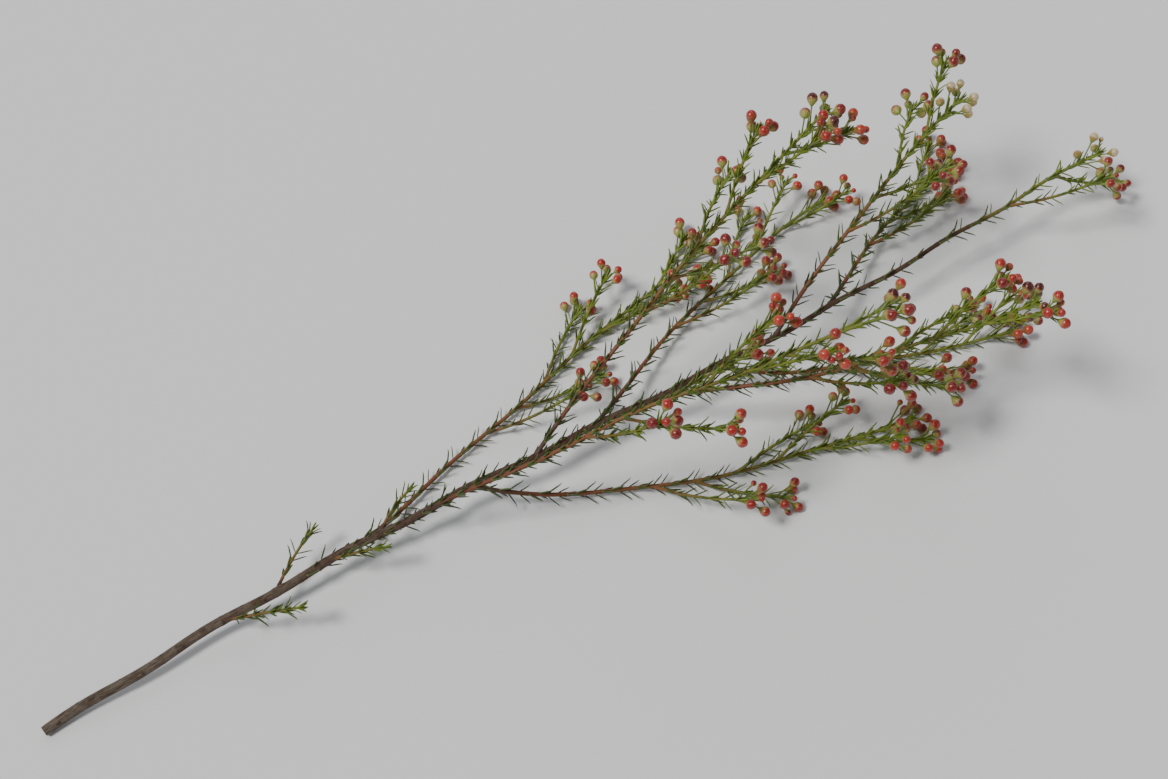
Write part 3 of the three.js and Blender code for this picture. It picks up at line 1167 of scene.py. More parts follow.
def bent_tube(
    station: Station, spread: Array, distance: Array, caps: Pair,
    traits: dict[str, Array], chunks: int, shift: float = 0.0,
) -> TubeSet:
    """Carry rings along a centre line: radius times level by cosine minus upright by sine.

    Args:
        station: a place and directions for each ring.
        spread: radii, (rings, sides).
        distance: distances of the rings from the foot.
        caps: how far on the closing points are.
        traits: values for each ring, or for each point of it.
        chunks: pieces of the flat map.
        shift: what its own heights start from.

    Returns:
        A set of one tube.
    """
    turn = full_turn(spread.shape[-1])
    cosine, sine = np.cos(turn)[:, None], np.sin(turn)[:, None]
    sideways = station.level[:, None] * cosine - station.upright[:, None] * sine
    rings = station.place[:, None] + spread[..., None] * sideways
    ends = station.place[[0, -1]] + station.along[[0, -1]] * np.array(caps)[:, None]
    height = distance + shift
    own, own_ends = own_turned(spread, turn, height, height[[0, -1]] + caps)
    traits = {name: values[None] for name, values in traits.items()}
    return TubeSet(rings[None], ends[None], own[None], own_ends[None], traits, chunks=chunks)


def turned_form(
    place: Array, heading: Array, height: Array, radius: Array, turn: Array,
    lift: Array | float = 0.0,
) -> Array:
    """Turn profiles about straight axes.

    A point is its place, plus heading times height, plus radius times the cosine and sine of its
    turn along two directions across the heading, plus a lift straight up.

    Args:
        place: foot of each axis.
        heading: its direction.
        height: heights of the rings, (tubes, rings).
        radius: radii, (tubes, rings, sides).
        turn: turns, which spread to the same shape.
        lift: upward shift of each ring.

    Returns:
        Points, (tubes, rings, sides, 3).
    """
    across = unit(np.cross(UP, heading))
    other = np.cross(heading, across)
    lift = np.broadcast_to(lift, height.shape)
    axis = place[:, None] + heading[:, None] * height[..., None] + UP * lift[..., None]
    side = across[:, None, None] * np.cos(turn)[..., None]
    side = side + other[:, None, None] * np.sin(turn)[..., None]
    return axis[:, :, None] + radius[..., None] * side


@dataclass(frozen=True)
class TwigForm:
    """How twigs are turned into round tapering tubes with swollen nodes."""

    sides: int = 12
    step: float = 2.4
    node_offsets: Row = (-1.1, -0.4, 0.3, 1.0)
    least_step: float = 0.3
    swelling: float = 0.13
    swelling_length: float = 0.85
    ridges: int = 4
    ridge: float = 0.07
    flare: float = 0.38
    flare_length: float = 1.7
    tip_cap: float = 0.35
    barked_share: float = 0.16
    led_share: float = 0.5
    chunk_length: float = 60.0
    apart: float = 40.0  # between the own heights of two twigs

    def distances(self, twig: Twig) -> Array:
        """Space the rings: even steps, and closer ones at the nodes.

        Args:
            twig: the twig.

        Returns:
            Distances from the foot.
        """
        even = np.arange(-twig.lead_in, twig.length, self.step)
        at_nodes = np.add.outer(np.array(twig.nodes), np.array(self.node_offsets)).ravel()
        found = np.sort(np.concatenate([even, at_nodes, [twig.length]]))
        found = found[(found >= -twig.lead_in) & (found <= twig.length)]
        return found[np.concatenate([np.diff(found) > self.least_step, [True]])]

    def tube(self, twig: Twig, seed: int) -> TubeSet:
        """Make one twig.

        The radius is the taper times one plus a hump at each node, plus a flare where the twig
        leaves its carrier, and four low ridges run down from the leaves.

        Args:
            twig: the twig.
            seed: number that sets its pattern apart.

        Returns:
            A set of one tube.
        """
        distance = self.distances(twig)
        t = distance / twig.length
        node = bell(np.subtract.outer(distance, twig.nodes), self.swelling_length).max(axis=1)
        radius = twig.radius(np.clip(t, 0, 1)) * (1 + self.swelling * node)
        if twig.carrier_radius:
            leaving = bell(distance - self.leaving(twig), self.flare_length)
            radius = radius + self.flare * twig.foot_radius * leaving
        around = 1 - self.ridge * np.cos(self.ridges * full_turn(self.sides))
        age = mix(*twig.youth, np.clip(t, 0, 1))
        return bent_tube(
            twig.curve.station(t), radius[:, None] * around, distance, (0.0, self.tip_cap),
            {"youth": age, "node": node, "foot": self.footing(twig, distance)},
            max(1, round(twig.length / self.chunk_length)), self.apart * seed,
        )

    def leaving(self, twig: Twig) -> float:
        """Give the distance where a twig comes out of its carrier, from the carrier's axis."""
        return twig.carrier_radius / math.sin(math.radians(BRANCHLET.angle))

    def footing(self, twig: Twig, distance: Array) -> Array:
        """Find how much a twig is still bark: a smooth fall from 1 where it leaves the stem.

        Args:
            twig: the twig.
            distance: distances of its rings from the foot.

        Returns:
            A value from 0 to 1 for each ring.
        """
        if twig.lead_in:
            return 1 - smooth_step(distance / (self.led_share * twig.length))
        if not twig.on_stem:
            return np.zeros_like(distance)
        beyond = distance - self.leaving(twig)
        return 1 - smooth_step(beyond / (self.barked_share * twig.length))


@dataclass(frozen=True)
class LeafForm:
    """How leaves are made: keeled needles that curve a little and end in a hooked point."""

    shares: Row = (0.0, 0.12, 0.32, 0.58, 0.8, 0.94)
    widths: Row = (0.66, 0.95, 1.14, 1.08, 0.8, 0.42)
    section: Pairs = (
        (1.0, 0.12), (0.45, 0.5), (-0.45, 0.5), (-1.0, 0.12), (-0.4, -0.85), (0.4, -0.85),
    )
    flatness: float = 0.7  # power of the widths that gives the thickness
    incurve: float = 0.085
    incurve_mean: float = 0.25  # of the incurve
    incurve_wave: Pair = (9 * math.pi, 0.6)  # turn for a tone of 1, and its start
    swerve: float = 0.05
    swerve_wave: float = 23.0
    hook: float = 0.035
    hooked: float = 0.8
    hook_rise: float = 5.0
    bud_room: float = 0.75
    bud_onset: float = 3.0
    round_bud: float = 1.3  # how far along the leaf it goes round a bud, in the room it needs
    lowest: float = 0.35

    def axes(self, leaves: list[Leaf], buds: list[Bud]) -> tuple[Array, Array, Array]:
        """Find the middle line of each leaf.

        The line is straight along the heading, plus a bend with the square of the share towards
        the twig, a smaller one sideways, and a hook back at the point. The tone sets how much.
        Where it comes too near to a bud it goes aside, on the side that it is already on.

        Args:
            leaves: the leaves.
            buds: buds of the same branch.

        Returns:
            Points of the lines, and level and facing directions of the leaves.
        """
        place, heading, along = (column(leaves, n) for n in ("place", "heading", "along"))
        start, length, tone = (column(leaves, n)[:, None] for n in ("start", "length", "tone"))
        facing = unit(along - heading * (along * heading).sum(-1, keepdims=True))
        level = np.cross(facing, heading)
        share = np.array([*self.shares, 1.0])[None, :]
        turn, first = self.incurve_wave
        incurve = self.incurve * np.sin(turn * tone + first) + self.incurve_mean * self.incurve
        point = smooth_step((share - self.hooked) * self.hook_rise)
        bend = length * (incurve * share**2 - self.hook * point)
        swerve = length * self.swerve * np.cos(self.swerve_wave * tone) * share**2
        axis = place[:, None] + heading[:, None] * mix(start, length, share)[..., None]
        axis = axis + facing[:, None] * bend[..., None] + level[:, None] * swerve[..., None]
        for bud in buds:
            apart, room = axis - bud.centre, bud.radius + self.bud_room
            ahead = np.einsum("lsk,lk->ls", apart, heading)
            aside = apart - heading[:, None] * ahead[..., None]
            nearest = np.take_along_axis(aside, np.abs(ahead).argmin(axis=1)[:, None, None], 1)
            needed = room * np.sqrt(np.clip(1 - (ahead / (self.round_bud * room)) ** 2, 0, 1))
            needed = np.clip(needed - np.linalg.norm(nearest, axis=-1), 0, None)
            axis = axis + unit(nearest) * (needed * smooth_step(share * self.bud_onset))[..., None]
        axis[..., 2] = np.maximum(axis[..., 2], self.lowest - SHIFT[2])
        return axis, level, facing

    def tubes(self, leaves: list[Leaf], buds: list[Bud]) -> TubeSet:
        """Make the leaves: the section scaled by the width at each share of the middle line.

        Args:
            leaves: the leaves.
            buds: what they go round.

        Returns:
            One tube for each leaf.
        """
        axis, level, facing = self.axes(leaves, buds)
        across, deep = np.array(self.section).T
        widths = np.array(self.widths)[None, :, None]
        size = column(leaves, "width")[:, None, None]
        x = LEAF.width / 2 * widths * size * across
        y = LEAF.thickness / 2 * widths**self.flatness * size * deep
        rings = axis[:, :-1, None] + level[:, None, None] * x[..., None]
        rings = rings + facing[:, None, None] * y[..., None]
        length, share = column(leaves, "length"), np.array(self.shares)[None, :]
        z = np.broadcast_to((length[:, None] * share)[..., None], x.shape)
        own_ends = np.zeros((len(leaves), 2, 3))
        own_ends[:, 1, 2] = length
        traits = {"share": np.broadcast_to(share, z.shape[:2])}
        traits |= {name: column(leaves, name)[:, None] for name in ("youth", "tone")}
        return TubeSet(rings, axis[:, [0, -1]], np.stack([x, y, z], -1), own_ends, traits)


def column(items: list[Leaf] | list[Bud], name: str) -> Array:
    """Gather one measure of all leaves or buds."""
    return np.array([getattr(item, name) for item in items])


class BudHue(Enum):
    """Colours of the petals, as seen on the stem, with the share of buds that have each."""

    MAROON = ((0.09, 0.006, 0.008), 0.06)
    DEEP_RED = ((0.27, 0.01, 0.008), 0.22)
    CORAL_RED = ((0.47, 0.022, 0.011), 0.34)
    CORAL = ((0.58, 0.07, 0.03), 0.15)
    ORANGE_TAN = ((0.5, 0.13, 0.025), 0.08)
    PALE_PINK = ((0.66, 0.27, 0.2), 0.08)
    CREAM = ((0.68, 0.6, 0.36), 0.07)

    @staticmethod
    def of(seed: Keys) -> Colour:
        """Choose a bud's hue by the share that a draw falls in, drifting to the one beside it.

        The draw of most buds is close to that of their cluster.

        Args:
            seed: the bud's keys, which start with those of its cluster.

        Returns:
            The hue.
        """
        draw, drift = Chance.HUE.share(*seed), Chance.HUE_DRIFT.drift(*seed)
        if Chance.STRAY_HUE.share(*seed) <= ALIKE:
            draw = abs(Chance.CLUSTER_HUE.share(*seed[:2]) + Chance.HUE_IN_CLUSTER.drift(*seed))
            draw = min(draw, 2 - draw)
        hues = list(BudHue)
        edges = np.cumsum([hue.value[1] for hue in hues])
        index = min(int(np.searchsorted(edges, draw, side="right")), len(hues) - 1)
        beside = hues[max(0, min(index + (1 if drift > 0 else -1), len(hues) - 1))]
        both = zip(hues[index].value[0], beside.value[0])
        return tuple(mix(a, b, abs(drift)) for a, b in both)


@dataclass
class BudRows:
    """The buds of one branch, each measure as a column."""

    buds: list[Bud]

    def __post_init__(self) -> None:
        """Gather places, sizes and seeded draws."""
        buds = self.buds
        self.seeds = [bud.seed for bud in buds]
        self.place, self.heading = column(buds, "place"), column(buds, "heading")
        self.start, self.stalk = column(buds, "start")[:, None], column(buds, "stalk")[:, None]
        self.size = column(buds, "size")[:, None]
        self.cup, self.ball = BUD.cup_length * self.size, BUD.globe_radius * self.size
        self.middle = self.stalk + self.cup
        self.spin = 2 * math.pi * self.draw(Chance.BUD_TURN)[..., None]
        self.traits = {"tone": self.draw(Chance.BUD_TONE), "flush": self.draw(Chance.BUD_FLUSH)}

    def draw(self, chance: Chance) -> Array:
        """Draw a share from 0 to 1 for each bud."""
        return np.array([[chance.share(*seed)] for seed in self.seeds])


PETALS = 5
ALIKE = 0.62  # share of buds whose hue is that of their cluster
PETAL_TWIST = 0.55  # from the middle of a globe to its top, in petals


@dataclass(frozen=True)
class BudForm:
    """How buds are made: a bowed stalk, a ribbed cup with five lobes, five wrapped petals."""

    stalk_sides: int = 6
    stalk_shares: Pair = (0.4, 0.85)
    stalk_radii: Row = (1.3, 1.05, 1.1, 1.35)
    stalk_bow: float = 0.3
    sides: int = 15
    rim_drop: float = 0.34  # of the cup's rim under the middle of the globe, as a share of radius
    rim_turn: float = 0.12  # of the cup's inner ring under its rim, the same
    cup_root: float = 0.1
    cup_shares: Pair = (0.4, 0.75)
    cup_profile: Row = (0.17, 0.5, 0.82, 1.0, 0.8)
    ribs: Pair = (0.97, 0.06)  # least radius, and what a rib adds
    lobe_rise: float = 0.36
    lobe_room: float = 0.035
    petal_heights: Row = (-0.6, -0.2, 0.28, 0.68, 0.93)
    petal_ends: Pair = (-0.65, 1.04)
    petal_step: float = 0.045
    petal_middle: float = 0.45
    petal_fade: float = 1.2

    def stalks(self, rows: BudRows) -> TubeSet:
        """Make the stalks: thin bars that bow up by a sine and thicken at both ends.

        Args:
            rows: the buds.

        Returns:
            One tube for each bud.
        """
        start, stalk = rows.start, rows.stalk
        low, high = self.stalk_shares
        height = np.concatenate([start, mix(start, stalk, low), stalk * high, stalk + rows.size], 1)
        radius = BUD.stalk_radius * np.array(self.stalk_radii)[:, None]
        spread = np.broadcast_to(radius, (*height.shape, self.stalk_sides))
        turn = full_turn(self.stalk_sides)
        lift = self.stalk_lift(height, stalk)
        rings = turned_form(rows.place, rows.heading, height, spread, turn, lift)
        z = (height - stalk) / rows.cup
        own = own_turned(spread / BUD.globe_radius, turn, z, z[:, [0, -1]])
        return TubeSet(rings, rings[:, [0, -1]].mean(axis=2), *own, rows.traits)

    def cups(self, rows: BudRows) -> TubeSet:
        """Make the cups: a cone that swells into the globe and rises in five lobes at its rim.

        The lobes are a smoothed cosine of the turn; the rim follows the globe, a little outside.

        Args:
            rows: the buds.

        Returns:
            One tube for each bud.
        """
        stalk, ball = rows.stalk, rows.ball
        rim = rows.middle - self.rim_drop * ball
        height = np.concatenate([
            stalk - self.cup_root, *(mix(stalk, rim, share) for share in self.cup_shares),
            rim, rim - self.rim_turn * ball,
        ], 1)
        turn = full_turn(self.sides)
        lobe = smooth_step(0.5 + 0.5 * np.cos(PETALS * turn))
        spread = np.repeat((ball * np.array(self.cup_profile))[..., None], self.sides, axis=2)
        spread[:, 1:3] *= self.ribs[0] + self.ribs[1] * lobe
        raised = np.repeat(height[..., None], self.sides, axis=2)
        raised[:, 3] += self.lobe_rise * ball * lobe
        above = (raised[:, 3] - rows.middle) / ball
        spread[:, 3] = ball * (np.sqrt(np.clip(1 - above**2, 0, 1)) + self.lobe_room)
        lift = self.stalk_lift(height, stalk)
        rings = turned_form(rows.place, rows.heading, height, spread, turn + rows.spin, lift)
        rings += rows.heading[:, None, None] * (raised - height[..., None])[..., None]
        z = (raised - stalk[..., None]) / rows.cup[..., None]
        flat = spread / ball[..., None]
        own = np.stack([flat * np.cos(turn), flat * np.sin(turn), z], -1)
        ends, own_ends = (points[:, [0, -1]].mean(axis=2) for points in (rings, own))
        return TubeSet(rings, ends, own, own_ends, rows.traits, sharp_ring=3)

    def globes(self, rows: BudRows) -> TubeSet:
        """Make the globes: a ball whose five petals each rise to an edge over the next.

        The radius is that of a ball at its height, plus a step that falls from an edge to the
        next as the turn goes round, and the edges lean as they rise.

        Args:
            rows: the buds.

        Returns:
            One tube for each bud.
        """
        level = np.array(self.petal_heights)
        turn = full_turn(self.sides)
        lean = 2 * math.pi * PETAL_TWIST / PETALS * level[:, None]
        phase = np.mod(PETALS * turn / (2 * math.pi), 1.0)
        fade = np.clip(self.petal_fade - level[:, None] ** 2, 0, 1)
        step = self.petal_step * fade * (self.petal_middle - phase)
        flat = np.sqrt(np.clip(1 - level[:, None] ** 2, 0.01, 1)) * (1 + step)
        spread = flat * rows.ball[..., None]
        height = rows.middle + rows.ball * level
        turns = turn - lean
        rings = turned_form(rows.place, rows.heading, height, spread, turns + rows.spin)
        caps = np.array(self.petal_ends)
        reach = rows.middle + caps * rows.ball
        ends = rows.place[:, None] + rows.heading[:, None] * reach[..., None]
        z, caps = np.broadcast_to(level, height.shape), np.broadcast_to(caps, reach.shape)
        own = own_turned(spread / rows.ball[..., None], turns, z, caps)
        hues = np.array([BudHue.of(seed) for seed in rows.seeds])
        return TubeSet(rings, ends, *own, rows.traits, {"hue": hues})

    def stalk_lift(self, height: Array, stalk: Array) -> Array:
        """Give the bow of a stalk, a sine that ends where the cup begins."""
        return self.stalk_bow * np.sin(math.pi * np.clip(height / stalk, 0, 1))


# ---- Finishes ----


class Effect(Enum):
    """Shared effects, each a node group: its name, its output and the defaults of its inputs."""

    MOTTLE = ("cloudy_mottle", "Patches", {"Seed": 0.0, "Scale": 1.0, "Low": 0.35, "High": 0.65})
    GLANDS = ("oil_glands", "Dots", {"Seed": 0.0, "Scale": 3.0, "Size": 0.25})
    FIBRES = ("long_fibres", "Streaks", {"Scale": 2.0, "Stretch": 0.1, "Low": 0.3, "High": 0.7})


class Graph:
    """Adds linked nodes to one node tree, which its subclasses make."""

    tree: bpy.types.NodeTree

    def fill(self, node: bpy.types.Node, sockets: dict) -> None:
        """Link or set inputs of a node; a colour gets full alpha.

        Args:
            node: the node.
            sockets: a link, number or colour for each input.
        """
        for key, value in sockets.items():
            if isinstance(value, Socket):
                self.tree.links.new(value, node.inputs[key])
            else:
                full = (*value, 1.0) if isinstance(value, tuple) else value
                node.inputs[key].default_value = full

    def add(self, kind: str, sockets: dict | None = None, **settings: object) -> bpy.types.Node:
        """Add a node.

        Args:
            kind: its type.
            sockets: a link, number or colour for each input.
            settings: its other properties.

        Returns:
            The node.
        """
        node = self.tree.nodes.new(kind)
        for name, value in settings.items():
            setattr(node, name, value)
        self.fill(node, sockets or {})
        return node

    @cached_property
    def own(self) -> Socket:
        """Give the surface's own coordinates, in millimetres or shares of its form."""
        return self.read("own", "Vector")

    def read(self, name: str, output: str = "Fac") -> Socket:
        """Read a trait of the surface, or a vector or colour of it."""
        return self.add("ShaderNodeAttribute", attribute_name=name).outputs[output]

    def split(self, vector: Socket) -> tuple[Socket, ...]:
        """Give the three parts of a vector."""
        return tuple(self.add("ShaderNodeSeparateXYZ", {0: vector}).outputs)

    def math(self, operation: str, *values: object) -> Socket:
        """Work out a number from others."""
        sockets = dict(enumerate(values))
        return self.add("ShaderNodeMath", sockets, operation=operation).outputs[0]

    def times(self, first: object, second: object) -> Socket:
        """Multiply two numbers."""
        return self.math("MULTIPLY", first, second)

    def plus(self, base: object, *terms: tuple[Socket, float]) -> Socket:
        """Add values times their factors to a base, one term after the other."""
        return reduce(lambda total, term: self.math("MULTIPLY_ADD", *term, total), terms, base)

    def step(self, value: object, low: object, high: object, way: str = "SMOOTHSTEP") -> Socket:
        """Rise from 0 where a value is low to 1 where it is high; low may be the larger."""
        sockets = {"Value": value, "From Min": low, "From Max": high}
        return self.add("ShaderNodeMapRange", sockets, interpolation_type=way).outputs["Result"]

    def blend(self, share: object, first: object, second: object, how: str = "MIX") -> Socket:
        """Blend two colours, from the first at a share of 0 to the second at 1."""
        settings = {"data_type": "RGBA", "blend_type": how, "clamp_factor": True}
        return self.add("ShaderNodeMix", {0: share, 6: first, 7: second}, **settings).outputs[2]

    def lay(self, colour: object, *layers: tuple[object, Socket, float]) -> Socket:
        """Lay colours over another, one after the other.

        Args:
            colour: what lies below.
            layers: a colour, a mask that shows it, and the strength of the mask, each.

        Returns:
            The colour that is seen.
        """
        for over, mask, strength in layers:
            share = mask if strength == 1 else self.times(mask, strength)
            colour = self.blend(share, colour, over)
        return colour

    def ramp(self, share: Socket, stops: Stops) -> Socket:
        """Grade a colour.

        Args:
            share: where on the ramp.
            stops: a place and a colour each.

        Returns:
            The colour there.
        """
        node = self.add("ShaderNodeValToRGB", {0: share})
        marks = node.color_ramp.elements
        while len(marks) < len(stops):
            marks.new(0.5)
        for mark, (place, colour) in zip(marks, stops):
            mark.position, mark.color = place, (*colour, 1.0)
        return node.outputs["Color"]

    def use(self, effect: Effect, **values: object) -> Socket:
        """Place a shared effect on the own coordinates, with values for its inputs."""
        group = bpy.data.node_groups[effect.value[0]]
        return self.add("ShaderNodeGroup", {0: self.own, **values}, node_tree=group).outputs[0]


class EffectGroup(Graph):
    """The node group of a shared effect, while it is built."""

    def __init__(self, effect: Effect) -> None:
        """Make the sockets of the group.

        Args:
            effect: which one it is.
        """
        name, self.output, inputs = effect.value
        self.tree = bpy.data.node_groups.new(name, "ShaderNodeTree")
        sockets = self.tree.interface
        sockets.new_socket("Vector", in_out="INPUT", socket_type="NodeSocketVector")
        for label, default in inputs.items():
            socket = sockets.new_socket(label, in_out="INPUT", socket_type="NodeSocketFloat")
            socket.default_value = default
        sockets.new_socket(self.output, in_out="OUTPUT", socket_type="NodeSocketFloat")
        self.given = self.add("NodeGroupInput").outputs

    def pattern(self, kind: str, sockets: dict, **settings: object) -> Socket:
        """Add a pattern on the group's vector, at its scale."""
        places = {name: self.given[name] for name in ("Vector", "Scale")}
        return self.add(kind, places | sockets, **settings).outputs[0]

    def close(self, value: Socket) -> None:
        """Put out the value."""
        self.add("NodeGroupOutput", {self.output: value})


def build_effects() -> None:
    """Build the shared effects.

    Mottle is soft noise. Glands are a round dot in each cell of a scattered pattern. Fibres are
    noise whose own height is squeezed, so that they run with the growth.
    """
    mottle, glands, fibres = (EffectGroup(effect) for effect in Effect)
    given = mottle.given
    soft = {"W": given["Seed"], "Detail": 3.0, "Roughness": 0.6}
    clouds = mottle.pattern("ShaderNodeTexNoise", soft, noise_dimensions="4D")
    mottle.close(mottle.step(clouds, given["Low"], given["High"], "LINEAR"))
    given = glands.given
    apart = {"W": given["Seed"], "Randomness": 0.8}
    cells = glands.pattern("ShaderNodeTexVoronoi", apart, voronoi_dimensions="4D")
    glands.close(glands.step(cells, given["Size"], 0.02))
    given = fibres.given
    x, y, z = fibres.split(given["Vector"])
    squeezed = {0: x, 1: y, 2: fibres.times(z, given["Stretch"])}
    vector = fibres.add("ShaderNodeCombineXYZ", squeezed).outputs[0]
    rough = {"Vector": vector, "Detail": 5.0, "Roughness": 0.65, "Distortion": 0.3}
    strands = fibres.pattern("ShaderNodeTexNoise", rough)
    fibres.close(fibres.step(strands, given["Low"], given["High"], "LINEAR"))


Skin = tuple[Socket, Socket, Socket]  # colour, roughness and height


@dataclass(frozen=True)
class Finish(Graph):
    """What every finish has: a name, constants of its surface, and the graph of its material."""

    name: str
    gloss: float = 0.5
    coat: float = 0.0
    coat_roughness: float = 0.2
    bump: float = 0.5
    relief: float = 0.0002
    seeds: float = 50.0  # how far apart the patterns of two tones are

    @cached_property
    def tree(self) -> bpy.types.NodeTree:
        """Start the material and give its node tree."""
        bpy.data.materials.new(self.name).use_nodes = True
        return bpy.data.materials[self.name].node_tree

    def dress(self) -> Skin:
        """Work out the skin from the surface's coordinates and traits."""
        raise NotImplementedError

    def material(self) -> Material:
        """Make the material: the skin on one Principled shader, its height as a bump.

        Returns:
            The material.
        """
        colour, roughness, height = self.dress()
        sockets = {"Height": height, "Strength": self.bump, "Distance": self.relief}
        self.fill(self.tree.nodes["Principled BSDF"], {
            "Base Color": colour, "Roughness": roughness,
            "Normal": self.add("ShaderNodeBump", sockets).outputs[0],
            "Specular IOR Level": self.gloss, "Coat Weight": self.coat,
            "Coat Roughness": self.coat_roughness,
        })
        return bpy.data.materials[self.name]


@dataclass(frozen=True)
class BarkFinish(Finish):
    """Thin stringy bark: grey-brown, split lengthwise, redder and smoother up the stem."""

    grey: Colour = (0.19, 0.15, 0.115)
    brown: Colour = (0.1, 0.055, 0.032)
    red: Colour = (0.125, 0.05, 0.028)
    split: Colour = (0.025, 0.013, 0.009)
    flake: Colour = (0.33, 0.28, 0.22)
    scar: Colour = (0.05, 0.026, 0.018)

    def dress(self) -> Skin:
        """Blend strips, splits and flakes by streaks, and age by place on the stem.

        Returns:
            The skin.
        """
        strips = self.use(Effect.FIBRES, Scale=1.3, Stretch=0.06, Low=0.38, High=0.62)
        splits = self.use(Effect.FIBRES, Scale=2.4, Stretch=0.085, Low=0.56, High=0.66)
        fine = self.use(Effect.FIBRES, Scale=8.0, Stretch=0.12, Low=0.3, High=0.7)
        patches = self.use(Effect.MOTTLE, Seed=2.0, Scale=0.14, Low=0.42, High=0.58)
        old = self.lay(self.blend(strips, self.brown, self.grey), (self.flake, patches, 0.35))
        young = self.lay(self.blend(strips, self.red, self.brown), (self.grey, patches, 0.35))
        beside = self.math("ABSOLUTE", self.math("SUBTRACT", self.read("scar"), 0.45))
        around = self.step(beside, 0.25, 0.05)
        colour = self.lay(
            self.blend(self.step(self.read("youth"), 0.05, 0.55), old, young),
            (self.split, splits, 0.85), (self.flake, self.step(fine, 0.6, 1.0), 0.4),
            (self.split, self.read("node"), 0.45), (self.scar, around, 0.8),
        )
        height = self.plus(self.times(splits, -1.3), (strips, 0.8), (fine, 0.45), (around, -0.5))
        return colour, self.plus(0.72, (fine, 0.15)), height


@dataclass(frozen=True)
class TwigFinish(Finish):
    """Young twigs: brown at their foot, reddish, then olive and yellow-green at the tip."""

    stops: Stops = (
        (0.0, (0.1, 0.045, 0.025)), (0.22, (0.16, 0.055, 0.026)), (0.45, (0.2, 0.1, 0.03)),
        (0.68, (0.15, 0.15, 0.02)), (1.0, (0.2, 0.26, 0.03)),
    )
    bark: Colour = (0.07, 0.036, 0.022)
    blush: Colour = (0.28, 0.07, 0.035)
    scar: Colour = (0.12, 0.06, 0.03)
    light: Colour = (0.42, 0.46, 0.16)
    groove: Colour = (0.1, 0.09, 0.02)
    grooves: float = 8.0

    def dress(self) -> Skin:
        """Grade by age, with reddish streaks, darker rings at nodes and pale glands.

        Returns:
            The skin.
        """
        age = self.read("youth")
        x, y, _ = self.split(self.own)
        streaks = self.use(Effect.FIBRES, Scale=1.9, Stretch=0.08, Low=0.35, High=0.7)
        patches = self.use(Effect.MOTTLE, Seed=5.0, Scale=0.25, Low=0.45, High=0.65)
        dots = self.use(Effect.GLANDS, Seed=1.0, Scale=2.2, Size=0.22)
        lines = self.math("COSINE", self.times(self.math("ARCTAN2", y, x), self.grooves))
        groove = self.times(self.step(lines, 0.2, 1.0), self.step(streaks, 0.2, 0.9))
        share = self.math("ADD", self.plus(age, (patches, -0.12)), 0.05)
        barked = self.step(self.plus(self.read("foot"), (streaks, -0.35)), -0.1, 0.75)
        colour = self.lay(
            self.ramp(share, self.stops), (self.groove, groove, 0.5),
            (self.blush, self.times(streaks, self.step(age, 0.95, 0.4)), 0.45),
            (self.light, dots, 0.35), (self.scar, self.read("node"), 0.2), (self.bark, barked, 1),
        )
        height = self.plus(streaks, (dots, 0.6), (groove, -1.2))
        return colour, self.plus(0.48, (streaks, 0.15)), height


@dataclass(frozen=True)
class LeafFinish(Finish):
    """Needle leaves: olive to fresh green, with a pale keel, glands and a brown point."""

    stops: Stops = (
        (0.0, (0.014, 0.026, 0.005)), (0.35, (0.027, 0.05, 0.005)), (0.65, (0.058, 0.1, 0.006)),
        (1.0, (0.17, 0.24, 0.008)),
    )
    keel: Colour = (0.2, 0.24, 0.05)
    base: Colour = (0.26, 0.29, 0.06)
    point: Colour = (0.2, 0.07, 0.03)
    gland: Colour = (0.3, 0.38, 0.12)
    dry: Colour = (0.22, 0.15, 0.04)

    def dress(self) -> Skin:
        """Grade by age and tone, then lay keel, base, point, glands and dry flecks over it.

        Returns:
            The skin.
        """
        age, tone = self.read("youth"), self.read("tone")
        share, seed = self.read("share"), self.times(tone, self.seeds)
        x, y, _ = self.split(self.own)
        patches = self.use(Effect.MOTTLE, Seed=seed, Scale=0.45, Low=0.35, High=0.7)
        dots = self.use(Effect.GLANDS, Seed=seed, Scale=2.6, Size=0.3)
        fine = self.use(Effect.FIBRES, Scale=5.0, Stretch=0.15, Low=0.3, High=0.7)
        fresh = self.plus(self.times(age, 0.72), (tone, 0.3))
        fresh = self.plus(self.math("SUBTRACT", fresh, 0.06), (patches, 0.14))
        middle = self.step(self.math("ABSOLUTE", x), 0.26, 0.05)
        below = self.times(middle, self.step(y, 0.0, -0.25))
        above = self.times(middle, self.step(y, 0.05, 0.2))
        flecks = self.times(self.step(fine, 0.75, 1.0), self.step(age, 0.6, 0.1))
        colour = self.lay(
            self.ramp(fresh, self.stops), (self.keel, below, 0.55), (self.keel, above, 0.22),
            (self.gland, dots, 0.3), (self.base, self.step(share, 0.2, 0.02), 1),
            (self.dry, flecks, 0.5), (self.point, self.step(share, 0.93, 1.0), 1),
        )
        height = self.plus(self.times(fine, 0.5), (dots, 0.8), (above, -0.8))
        return colour, self.plus(0.36, (patches, 0.14)), height


